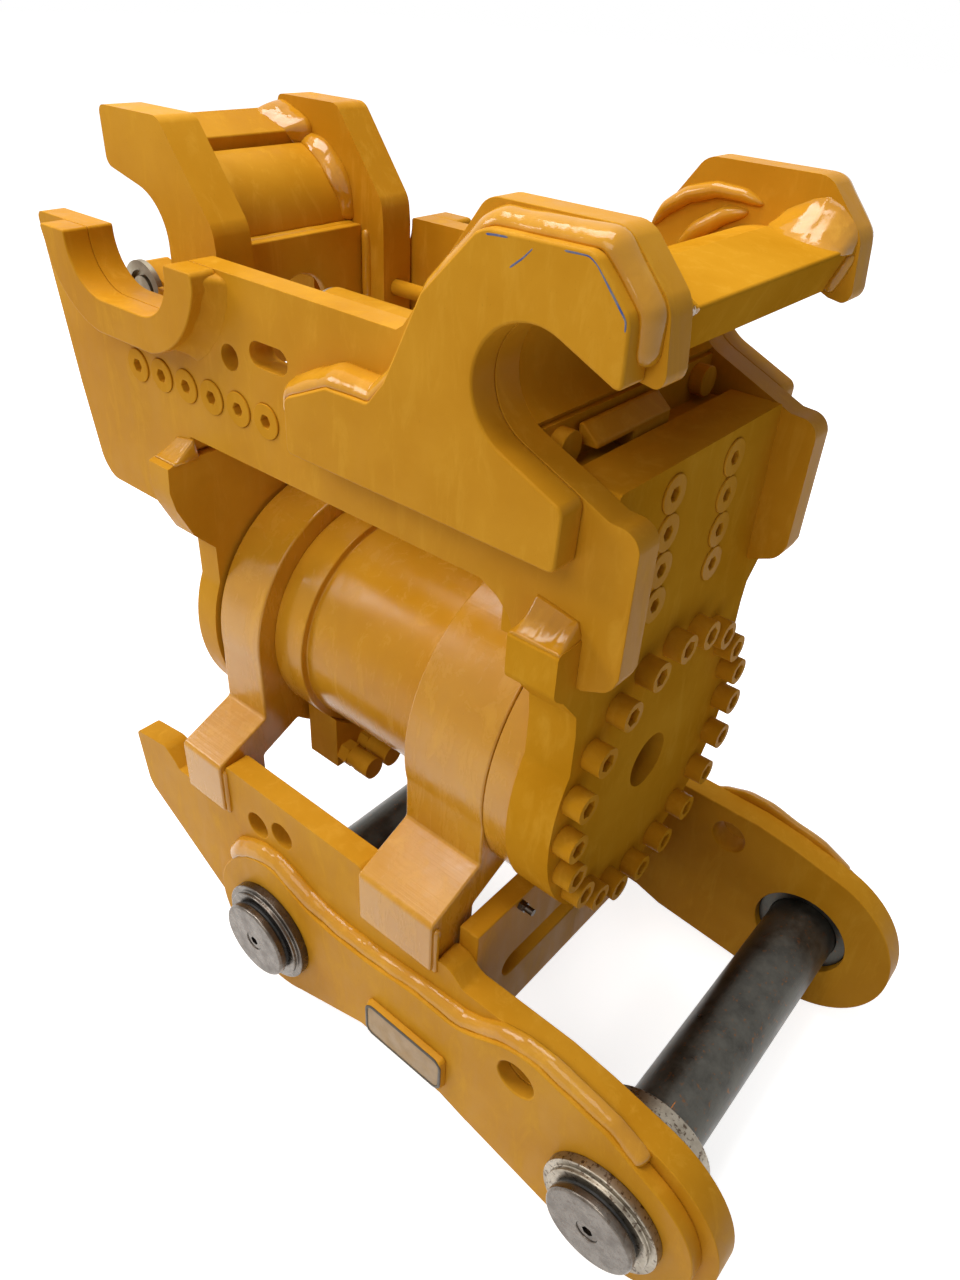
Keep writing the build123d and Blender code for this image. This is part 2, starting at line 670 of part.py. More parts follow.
# Output shaft: front flange, journal, body with the rear hub screwed to it
hub_x = REAR_PLATE_X
with BuildPart() as output_shaft:
    with BuildSketch(end(SHAFT_FLANGE_X)):
        Circle(SHAFT_FLANGE_R)
    extrude(amount=SHAFT_FLANGE_T)
    with BuildSketch(end(journal_x + SLIDE)):
        Circle(JOURNAL_R)
    extrude(amount=SHAFT_FLANGE_X - journal_x)
    with BuildSketch(end(hub_x + HUB_L)):
        Circle(SHAFT_R)
    extrude(amount=journal_x - hub_x - HUB_L + 10)
    with BuildSketch(end(hub_x)):
        Circle(SHAFT_END_R)
    extrude(amount=HUB_L + 10)
    with BuildSketch(end(FRONT_PLATE_X)):
        with PolarLocations(SCREW_RING_R, SCREW_COUNT, 90):
            Circle(SCREW_R + FIT)
    extrude(amount=-SHAFT_FLANGE_T, mode=Mode.SUBTRACT)
    with BuildSketch(end(FRONT_PLATE_X)):
        Circle(BORE_R)
    extrude(amount=-60, mode=Mode.SUBTRACT)
keep(output_shaft, "output_shaft")

with BuildPart() as shaft_end_hub:
    with BuildSketch(end(hub_x)):
        Circle(HUB_R)
        Circle(SHAFT_END_R + FIT, mode=Mode.SUBTRACT)
        with PolarLocations(REAR_RING_R, REAR_SCREW_COUNT):
            Circle(SCREW_R * 0.75 + FIT, mode=Mode.SUBTRACT)
    extrude(amount=HUB_L - SLIDE)
keep(shaft_end_hub, "shaft_end_hub")


def plate_half(sign, radius, waist, steps, wing_top, plate_top):
    """Half the outline of an end plate: disc, waist, wing through the side plate, neck."""
    half = [(0, 0), (waist, sqrt(radius ** 2 - waist ** 2))] + steps
    half += [(HITCH_Y, wing_top), (HITCH_Y, plate_top), (0, plate_top), (0, 0)]
    return [(sign * y, z) for y, z in half]


# Front end plate, its screws and the cross block behind it
front_waist = FRONT_PLATE_R - 15.5
front_steps = [(front_waist, WING_TOP - 86), (front_waist + 2.5, WING_TOP - 67),
               (WING_Y - 12, WING_TOP - 44), (WING_Y, WING_TOP - 35), (WING_Y, WING_TOP)]
block_places = [end(FACE_X) * Location((y, BLOCK_TOP - BLOCK_SCREW_DROP
                                                - BLOCK_SCREW_PITCH * row))
                for y in (-BLOCK_SCREW_Y, BLOCK_SCREW_Y) for row in range(4)]
block_screw_l = FRONT_PLATE_T + 26
block_screw = sunk_screw(block_screw_l)
block_hole = sunk_screw(block_screw_l, FIT, 4)

with BuildPart() as front_end_plate:
    with BuildSketch(end(FRONT_PLATE_X)):
        Circle(FRONT_PLATE_R)
        for sign in (1, -1):
            with BuildLine():
                Polyline(plate_half(sign, FRONT_PLATE_R, front_waist, front_steps, WING_TOP,
                                    FRONT_PLATE_TOP))
            make_face()
        Circle(BORE_R, mode=Mode.SUBTRACT)
        with PolarLocations(SCREW_RING_R, SCREW_COUNT, 90):
            Circle(SCREW_R + FIT, mode=Mode.SUBTRACT)
    extrude(amount=FRONT_PLATE_T)
    for place in block_places:
        add(place * block_hole, mode=Mode.SUBTRACT)
keep(front_end_plate, "front_end_plate")

with BuildPart() as front_end_screws:
    with BuildSketch(end(FACE_X)):
        with PolarLocations(SCREW_RING_R, SCREW_COUNT, 90):
            Circle(HEAD_R)
    extrude(amount=HEAD_H)
    with BuildSketch(end(FACE_X)):
        with PolarLocations(SCREW_RING_R, SCREW_COUNT, 90):
            Circle(SCREW_R)
    extrude(amount=-FRONT_PLATE_T - SHAFT_FLANGE_T + 4)
    with BuildSketch(end(FACE_X + HEAD_H)):
        with PolarLocations(SCREW_RING_R, SCREW_COUNT, 90):
            RegularPolygon(SOCKET_R, 6)
    extrude(amount=-SOCKET_DEPTH, mode=Mode.SUBTRACT)
keep(front_end_screws, "front_end_screws")

with BuildPart() as front_cross_block:
    with BuildSketch(end(BLOCK_REAR_X)):
        with Locations((0, (BLOCK_BOTTOM + BLOCK_TOP) / 2)):
            Rectangle(2 * HITCH_Y, BLOCK_TOP - BLOCK_BOTTOM)
    extrude(amount=FRONT_PLATE_X - BLOCK_REAR_X)
    with BuildSketch(flat(BLOCK_TOP)):
        with Locations(((LATCH_X[0] + LATCH_X[1]) / 2, (LATCH_STEM_Y[0] + LATCH_STEM_Y[1]) / 2)):
            Rectangle(LATCH_T + 2 * SLIDE, LATCH_STEM_Y[1] - LATCH_STEM_Y[0] + 2 * SLIDE)
    extrude(amount=LATCH_POCKET_Z - BLOCK_TOP, mode=Mode.SUBTRACT)
    for place in block_places:
        add(place * block_hole, mode=Mode.SUBTRACT)
keep(front_cross_block, "front_cross_block")

with BuildPart() as cross_block_screws:
    for place in block_places:
        add(place * block_screw)
keep(cross_block_screws, "cross_block_screws")

# Rear end plate and the screws into the hub
rear_waist = REAR_PLATE_R - 11
rear_steps = [(rear_waist, REAR_WING_TOP - 91), (rear_waist + 20, REAR_WING_TOP - 71),
              (WING_Y + 2, REAR_WING_TOP - 42), (WING_Y + 6, REAR_WING_TOP - 24),
              (WING_Y + 4.5, REAR_WING_TOP - 3), (HITCH_OUT + 6, REAR_WING_TOP + 4),
              (HITCH_OUT, REAR_WING_TOP + 4), (HITCH_OUT, REAR_WING_TOP)]
with BuildPart() as rear_end_plate:
    with BuildSketch(end(REAR_FACE_X)):
        Circle(REAR_PLATE_R)
        for sign in (1, -1):
            with BuildLine():
                Polyline(plate_half(sign, REAR_PLATE_R, rear_waist, rear_steps, REAR_WING_TOP,
                                    REAR_PLATE_TOP))
            make_face()
        with PolarLocations(REAR_RING_R, REAR_SCREW_COUNT):
            Circle(SCREW_R * 0.75 + FIT, mode=Mode.SUBTRACT)
    extrude(amount=REAR_PLATE_T)
keep(rear_end_plate, "rear_end_plate")

with BuildPart() as rear_end_screws:
    with BuildSketch(end(REAR_FACE_X)):
        with PolarLocations(REAR_RING_R, REAR_SCREW_COUNT):
            Circle(HEAD_R * 0.75)
    extrude(amount=-HEAD_H * 0.75)
    with BuildSketch(end(REAR_FACE_X)):
        with PolarLocations(REAR_RING_R, REAR_SCREW_COUNT):
            Circle(SCREW_R * 0.75)
    extrude(amount=REAR_PLATE_T + 24)
    with BuildSketch(end(REAR_FACE_X - HEAD_H * 0.75)):
        with PolarLocations(REAR_RING_R, REAR_SCREW_COUNT):
            RegularPolygon(SOCKET_R * 0.75, 6)
    extrude(amount=SOCKET_DEPTH, mode=Mode.SUBTRACT)
keep(rear_end_screws, "rear_end_screws")

# Hitch side plates with hook and saddle, and their doublers
nose = (THROAT_X + 54, ATTACH_Z + 19.5)
lip = (THROAT_X + 31, ATTACH_Z - 56.8)
throat_top = touch(nose, THROAT, ATTACH_R, 1)
throat_end = touch(lip, THROAT, ATTACH_R, -1) + 360
saddle_floor = ATTACH_Z - ATTACH_R
saddle_left = SADDLE_REAR_X - ATTACH_R
saddle_right = SADDLE_FRONT_X + ATTACH_R
rail_places = [side(-HITCH_OUT) * Location((RAIL_SCREW_X + RAIL_SCREW_PITCH * n, RAIL_SCREW_Z))
               for n in range(RAIL_SCREW_COUNT)]
rail_screw_l = HITCH_T + RAIL_T - 5
rail_screw = sunk_screw(rail_screw_l)
rail_hole = sunk_screw(rail_screw_l, FIT, 4)


def pocket():
    """The saddle's open pocket, drawn from its right lip round to its left one."""
    Line((saddle_right, TOP_Z), (saddle_right, ATTACH_Z))
    CenterArc((SADDLE_FRONT_X, ATTACH_Z), ATTACH_R, 0, -90)
    Line((SADDLE_FRONT_X, saddle_floor), (SADDLE_REAR_X, saddle_floor))
    CenterArc((SADDLE_REAR_X, ATTACH_Z), ATTACH_R, -90, -90)
    Line((saddle_left, ATTACH_Z), (saddle_left, TOP_Z))


with BuildPart() as side_plate_near:
    with BuildSketch(side(-HITCH_Y)):
        with BuildLine():
            pocket()
            throat = CenterArc(THROAT, ATTACH_R, throat_top, throat_end - throat_top)
            Polyline((saddle_right, TOP_Z), (THROAT_X - 121, TOP_Z), (THROAT_X - 115, TOP_Z + 4),
                     (THROAT_X - 53, HOOK_TOP), (THROAT_X + 37, HOOK_TOP), off(THROAT, 66.5, 60.5),
                     off(THROAT, 70, 23.5), off(THROAT, 66, 17.5), nose, throat @ 0)
            Polyline(throat @ 1, lip, off(THROAT, 49, -64.5), (FRONT_X - 7.7, ATTACH_Z - 65.5),
                     (FRONT_X, ATTACH_Z - 73.5),
                     (FRONT_X, FRONT_LEG_Z + 22), (FRONT_X - 5, FRONT_LEG_Z + 9),
                     (FRONT_X - 26, FRONT_LEG_Z), (FACE_X, FRONT_LEG_Z), (FACE_X, WING_TOP),
                     (FRONT_PLATE_X, WING_TOP), (FRONT_PLATE_X, FRONT_LEG_Z),
                     (LEG_REAR_X, FRONT_LEG_Z), (LEG_REAR_X, FRONT_LEG_Z + 17),
                     (LEG_REAR_X - 6, FRONT_LEG_Z + 30), (LEG_REAR_X - 17, FRONT_LEG_Z + 40),
                     (LEG_REAR_X - 32, BELLY_Z), (REAR_PLATE_X - 5, BELLY_Z),
                     (REAR_PLATE_X - 5, REAR_WING_TOP), (REAR_FACE_X, REAR_WING_TOP),
                     (REAR_FACE_X, REAR_LEG_Z), (REAR_X + 47, REAR_LEG_Z),
                     (REAR_X + 34, REAR_LEG_Z + 14), (REAR_X + 20, BELLY_Z + 4), (REAR_X, TOP_Z),
                     (saddle_left, TOP_Z))
        make_face()
        with Locations((SADDLE_FRONT_X + 79, ATTACH_Z - 57.5)):
            Circle(SIGHT_HOLE_R, mode=Mode.SUBTRACT)
        with Locations((SADDLE_FRONT_X + 124.5, ATTACH_Z - 46.5)):
            SlotOverall(SIGHT_SLOT[0], SIGHT_SLOT[1], mode=Mode.SUBTRACT)
    extrude(amount=HITCH_T)
    for place in rail_places:
        add(place * rail_hole, mode=Mode.SUBTRACT)
keep_pair(side_plate_near, "side_plate")

hook_edge = [(29.5, -99.5), (-208, -99.5), (-208, -58.5), (-165, -39.5), (-126, -38.5),
             (-111, -20.5), (-81, 39.5), (-43, 78.5), (-36, 82), (33, 83), (57.5, 56), (58, 21.5)]
with BuildPart() as hook_doubler_near:
    with BuildSketch(side(-HITCH_OUT)):
        with BuildLine():
            throat = CenterArc(THROAT, ATTACH_R, throat_top, throat_end - throat_top)
            Polyline(throat @ 1, lip, *[off(THROAT, x, z) for x, z in hook_edge], nose,
                     throat @ 0)
        make_face()
    extrude(amount=HITCH_T)
keep_pair(hook_doubler_near, "hook_doubler")

left_top = (saddle_left - 27, saddle_floor + 12.5)
left_foot = (SADDLE_REAR_X - 11, saddle_floor - 28)
right_foot = (SADDLE_FRONT_X + 8, saddle_floor - 28)
right_top = (saddle_right + 33, saddle_floor + 32.5)
with BuildPart() as saddle_doubler_near:
    with BuildSketch(side(-HITCH_OUT)):
        with BuildLine():
            pocket()
            Polyline((saddle_left, TOP_Z), (saddle_left - 36, TOP_Z), left_top)
            ThreePointArc(left_top, (saddle_left - 7, saddle_floor - 12.5), left_foot)
            Line(left_foot, right_foot)
            ThreePointArc(right_foot, (saddle_right + 12, saddle_floor - 4.5), right_top)
            Polyline(right_top, (saddle_right + 33, TOP_Z), (saddle_right, TOP_Z))
        make_face()
    extrude(amount=HITCH_T)
keep_pair(saddle_doubler_near, "saddle_doubler")

bar_angle = 80.0
liner_end = 236.0
with BuildPart() as hook_nose_bar:
    with BuildSketch(side(HITCH_Y)):
        with BuildLine():
            throat = CenterArc(THROAT, ATTACH_R, throat_top, bar_angle - throat_top)
            Polyline(throat @ 1, at(THROAT, LINER_R, bar_angle), off(THROAT, 8, LINER_R + 4.5),
                     off(THROAT, 63, 52.5), off(THROAT, 50, 21.5), throat @ 0)
        make_face()
    extrude(amount=2 * HITCH_Y)
keep(hook_nose_bar, "hook_nose_bar")

rod_places = [(-ROD_Y, ROD_Z), (ROD_Y, ROD_Z)]
with BuildPart() as throat_liner:
    with BuildSketch(side(HITCH_Y)):
        with BuildLine():
            inner = CenterArc(THROAT, ATTACH_R, bar_angle, liner_end - bar_angle)
            outer = CenterArc(THROAT, LINER_R, bar_angle, liner_end - bar_angle)
            Line(inner @ 0, outer @ 0)
            Line(inner @ 1, outer @ 1)
        make_face()
    extrude(amount=2 * HITCH_Y)
    with BuildSketch(end(THROAT_BLOCK_X)):
        with Locations((0, (BLOCK_TOP + THROAT_BLOCK_TOP) / 2)):
            Rectangle(2 * HITCH_Y, THROAT_BLOCK_TOP - BLOCK_TOP)
    extrude(amount=THROAT_BLOCK_T)
    with BuildSketch(end(THROAT_BLOCK_X)):
        with Locations(*rod_places):
            Circle(ROD_R + FIT)
    extrude(amount=THROAT_BLOCK_T, mode=Mode.SUBTRACT)
    with BuildSketch(end(THROAT_BLOCK_FRONT)):
        with Locations(*rod_places):
            Circle(ROD_END_R + FIT)
    extrude(amount=2 * ROD_END_L, mode=Mode.SUBTRACT)
    for y in (ANCHOR_LUG_Y + ANCHOR_LUG_T, -ANCHOR_LUG_Y):
        with BuildSketch(side(y)):
            with BuildLine():
                eye = CenterArc((ANCHOR_X, CYL_Z), EYE_R - 6, 90, 180)
                Polyline(eye @ 1, (THROAT_BLOCK_X, CYL_Z - EYE_R + 8),
                         (THROAT_BLOCK_X, CYL_Z + 18), eye @ 0)
            make_face()
            with Locations((ANCHOR_X, CYL_Z)):
                Circle(ANCHOR_R + FIT, mode=Mode.SUBTRACT)
        extrude(amount=ANCHOR_LUG_T)
keep(throat_liner, "throat_liner")

# Slide rails, guide rods
with BuildPart() as slide_rail_near:
    with BuildSketch(side(-HITCH_Y + RAIL_T)):
        with Locations(((RAIL_X[0] + RAIL_X[1]) / 2, RAIL_SCREW_Z)):
            Rectangle(RAIL_X[1] - RAIL_X[0], RAIL_Z[1] - RAIL_Z[0])
    extrude(amount=RAIL_T)
    for place in rail_places:
        add(place * rail_hole, mode=Mode.SUBTRACT)
keep_pair(slide_rail_near, "slide_rail")

with BuildPart() as rail_screws:
    for place in rail_places:
        add(place * rail_screw)
    mirror(about=Plane.XZ)
keep(rail_screws, "rail_screws")

with BuildPart() as guide_rods:
    with BuildSketch(end(ROD_REAR_X)):
        with Locations(*rod_places):
            Circle(ROD_R)
    extrude(amount=THROAT_BLOCK_FRONT - ROD_REAR_X)
    with BuildSketch(end(THROAT_BLOCK_FRONT)):
        with Locations(*rod_places):
            Circle(ROD_END_R)
    extrude(amount=ROD_END_L)
keep(guide_rods, "guide_rods")

# Latch for the front pin, on its springs in the cross block
with BuildPart() as front_pin_latch:
    with BuildSketch(side(LATCH_Y[1])):
        with BuildLine():
            Polyline((LATCH_X[0], LATCH_HEAD_Z), (LATCH_X[1], LATCH_HEAD_Z),
                     (LATCH_X[1], LATCH_NOSE), (LATCH_X[0] + 4, LATCH_TOP),
                     (LATCH_X[0], LATCH_TOP), (LATCH_X[0], LATCH_HEAD_Z))
        make_face()
    extrude(amount=LATCH_Y[1] - LATCH_Y[0])
    with BuildSketch(flat(LATCH_BOTTOM)):
        with Locations(((LATCH_X[0] + LATCH_X[1]) / 2, (LATCH_STEM_Y[0] + LATCH_STEM_Y[1]) / 2)):
            Rectangle(LATCH_T, LATCH_STEM_Y[1] - LATCH_STEM_Y[0])
    extrude(amount=LATCH_HEAD_Z + 4 - LATCH_BOTTOM)
keep(front_pin_latch, "front_pin_latch")

spring_x = (LATCH_X[0] + LATCH_X[1]) / 2
spring_length = LATCH_BOTTOM - LATCH_POCKET_Z - 0.6
spring_pitch = (spring_length - 2 * SPRING_WIRE_R) / SPRING_TURNS
spring_base = LATCH_POCKET_Z + 0.3 + SPRING_WIRE_R
with BuildPart() as latch_spring:
    with BuildLine() as coil:
        Helix(spring_pitch, spring_length - 2 * SPRING_WIRE_R, SPRING_R - SPRING_WIRE_R)
    with BuildSketch(Plane(origin=coil.line @ 0, z_dir=coil.line % 0)):
        RegularPolygon(SPRING_WIRE_R, 8)
    sweep(is_frenet=True)
spring_places = [flat(spring_base) * Location((spring_x, y))
                 for y in (LATCH_STEM_Y[0] + 11, LATCH_STEM_Y[1] - 11)]
with BuildPart() as latch_springs:
    for place in spring_places:
        add(place * latch_spring.part)
keep(latch_springs, "latch_spring")

# Jaw: two plates with tail and lugs, top bar, liner, front plate
jaw_tip = (JAW_X - 31, ATTACH_Z + 48.5)
jaw_turn = touch(jaw_tip, JAW_C, ATTACH_R, -1)
jaw_right = JAW_X + ATTACH_R
rod_pin = (ROD_PIN_X, CYL_Z)
with BuildPart() as jaw_plate_near:
    with BuildSketch(side(-JAW_Y)):
        with BuildLine():
            mouth = CenterArc(JAW_C, ATTACH_R, 0, jaw_turn)
            Polyline(mouth @ 1, jaw_tip, (jaw_tip[0], JAW_TOP), (JAW_X + 44.6, JAW_TOP),
                     (JAW_FRONT_X - 2, ATTACH_Z + 21.5), (JAW_FRONT_X, ATTACH_Z + 2.5),
                     (JAW_FRONT_X, JAW_BOTTOM),
                     (JAW_REAR_X, JAW_BOTTOM), (JAW_REAR_X, TAIL_TOP), (jaw_right, TAIL_TOP),
                     mouth @ 0)
        make_face()
    extrude(amount=JAW_T)
    with BuildSketch(side(-LUG_Y)):
        with BuildLine():
            eye = CenterArc(rod_pin, ROD_PIN_RING_R - 2, 90, 180)
            Polyline(eye @ 1, (JAW_REAR_X + 60, CYL_Z - 40), (JAW_REAR_X + 60, TAIL_TOP),
                     (JAW_REAR_X, TAIL_TOP), eye @ 0)
        make_face()
        with Locations(rod_pin):
            Circle(ROD_PIN_R + FIT, mode=Mode.SUBTRACT)
    extrude(amount=JAW_Y - LUG_Y)
    with BuildSketch(side(-JAW_OUT)):
        with Locations(((JAW_FRONT_X + JAW_REAR_X) / 2, RAIL_SCREW_Z)):
            Rectangle(JAW_FRONT_X - JAW_REAR_X, RAIL_Z[1] - RAIL_Z[0] + 2 * SLIDE)
    extrude(amount=-(JAW_OUT - HITCH_Y + RAIL_T + SLIDE), mode=Mode.SUBTRACT)
    with BuildSketch(end(JAW_FRONT_X)):
        with Locations(*rod_places):
            Circle(ROD_R + SLIDE)
    extrude(amount=2 * (JAW_REAR_X - JAW_FRONT_X), mode=Mode.SUBTRACT)
keep_pair(jaw_plate_near, "jaw_plate")

with BuildPart() as jaw_top_bar:
    with BuildSketch(side(JAW_Y)):
        with BuildLine():
            Polyline((JAW_X - 27, JAW_TOP - 10), (JAW_X + 5, JAW_TOP - 24), (JAW_X + 2, JAW_TOP - 36),
                     (jaw_tip[0] + 2, JAW_TOP - 36), (jaw_tip[0] + 1, JAW_TOP - 10),
                     (JAW_X - 27, JAW_TOP - 10))
        make_face()
    extrude(amount=2 * JAW_Y)
keep(jaw_top_bar, "jaw_top_bar")

jaw_liner_r = ATTACH_R + 18
with BuildPart() as jaw_liner:
    with BuildSketch(side(JAW_Y)):
        with BuildLine():
            inner = CenterArc(JAW_C, ATTACH_R, 0, 82)
            outer = CenterArc(JAW_C, jaw_liner_r, 0, 82)
            Line(inner @ 0, outer @ 0)
            Line(inner @ 1, outer @ 1)
        make_face()
    extrude(amount=2 * JAW_Y)
keep(jaw_liner, "jaw_liner")

with BuildPart() as jaw_front_plate:
    with BuildSketch(end(jaw_right + 24)):
        with Locations((0, ATTACH_Z - JAW_PLATE_H / 2)):
            Rectangle(2 * JAW_Y, JAW_PLATE_H)
        with Locations((0, CYL_Z)):
            Circle(CYL_R + 3, mode=Mode.SUBTRACT)
    extrude(amount=9)
keep(jaw_front_plate, "jaw_front_plate")

# Lock cylinder
with BuildPart() as lock_cylinder_barrel:
    with BuildSketch(end(CYL_X[0])):
        with Locations((0, CYL_Z)):
            Circle(CYL_R)
    extrude(amount=CYL_X[1] - CYL_X[0])
    with BuildSketch(end(CYL_X[0])):
        with Locations((0, CYL_Z)):
            Circle(CYL_BORE)
    extrude(amount=CYL_X[1] - CYL_X[0] - 14, mode=Mode.SUBTRACT)
    with BuildSketch(side(EYE_T / 2)):
        with BuildLine():
            eye = CenterArc((ANCHOR_X, CYL_Z), EYE_R - 6, -90, 180)
            Polyline(eye @ 1, (CYL_X[1], CYL_Z + EYE_R - 6), (CYL_X[1], CYL_Z - EYE_R + 6),
                     eye @ 0)
        make_face()
    extrude(amount=EYE_T)
    with BuildSketch(side(EYE_T)):
        with Locations((ANCHOR_X, CYL_Z)):
            Circle(ANCHOR_R + FIT)
    extrude(amount=2 * EYE_T, mode=Mode.SUBTRACT)
keep(lock_cylinder_barrel, "lock_cylinder_barrel")

with BuildPart() as lock_cylinder_gland:
    with BuildSketch(end(CYL_X[0])):
        with Locations((0, CYL_Z)):
            Circle(CYL_BORE - FIT)
            Circle(CYL_ROD_R + FIT, mode=Mode.SUBTRACT)
    extrude(amount=GLAND_L)
    with BuildSketch(end(CYL_X[0])):
        with Locations((0, CYL_Z)):
            Circle(CYL_R - 1)
            Circle(CYL_ROD_R + FIT, mode=Mode.SUBTRACT)
    extrude(amount=-4)
keep(lock_cylinder_gland, "lock_cylinder_gland")

with BuildPart() as cylinder_anchor_pin:
    with BuildSketch(side(ANCHOR_LUG_Y + ANCHOR_LUG_T + 3)):
        with Locations((ANCHOR_X, CYL_Z)):
            Circle(ANCHOR_R)
    extrude(amount=2 * (ANCHOR_LUG_Y + ANCHOR_LUG_T + 3))
keep(cylinder_anchor_pin, "cylinder_anchor_pin")

piston_head_l = 20.0
with BuildPart() as lock_cylinder_rod:
    with BuildSketch(end(ROD_PIN_X)):
        with Locations((0, CYL_Z)):
            Circle(CYL_ROD_R)
    extrude(amount=CYL_X[0] + GLAND_L + 8 - ROD_PIN_X)
    with BuildSketch(end(CYL_X[0] + GLAND_L + 8)):
        with Locations((0, CYL_Z)):
            Circle(CYL_BORE - SLIDE)
    extrude(amount=piston_head_l)
    with BuildSketch(side(EYE_T / 2)):
        with Locations(rod_pin):
            Circle(EYE_R)
    extrude(amount=EYE_T)
    with BuildSketch(side(EYE_T)):
        with Locations(rod_pin):
            Circle(ROD_PIN_R + FIT)
    extrude(amount=2 * EYE_T, mode=Mode.SUBTRACT)
keep(lock_cylinder_rod, "lock_cylinder_rod")

with BuildPart() as rod_end_pin:
    with BuildSketch(side(JAW_Y)):
        with Locations(rod_pin):
            Circle(ROD_PIN_R)
    extrude(amount=2 * JAW_Y)
    with BuildSketch(side(-JAW_Y)):
        with Locations(rod_pin):
            Circle(ROD_PIN_RING_R)
            Circle(ROD_PIN_RING_R - 8, mode=Mode.SUBTRACT)
            Circle(ROD_PIN_R - 3)
    extrude(amount=ROD_PIN_RING_T)
    with BuildSketch(side(-JAW_Y)):
        with Locations(rod_pin):
            Circle(ROD_PIN_RING_R)
    extrude(amount=1)
    mirror(about=Plane.XZ)
keep(rod_end_pin, "rod_end_pin")
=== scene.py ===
# %% [markdown]
# # A tilting quick coupler in ochre paint
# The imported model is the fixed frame: every plate, pin and screw already lies at its real place.
# This script gives each of them a finish, rounds the edges that a cutting torch and a grinder
# leave, and lays the weld beads that hold the plates together.

# %% Load the frame
import json
from math import radians

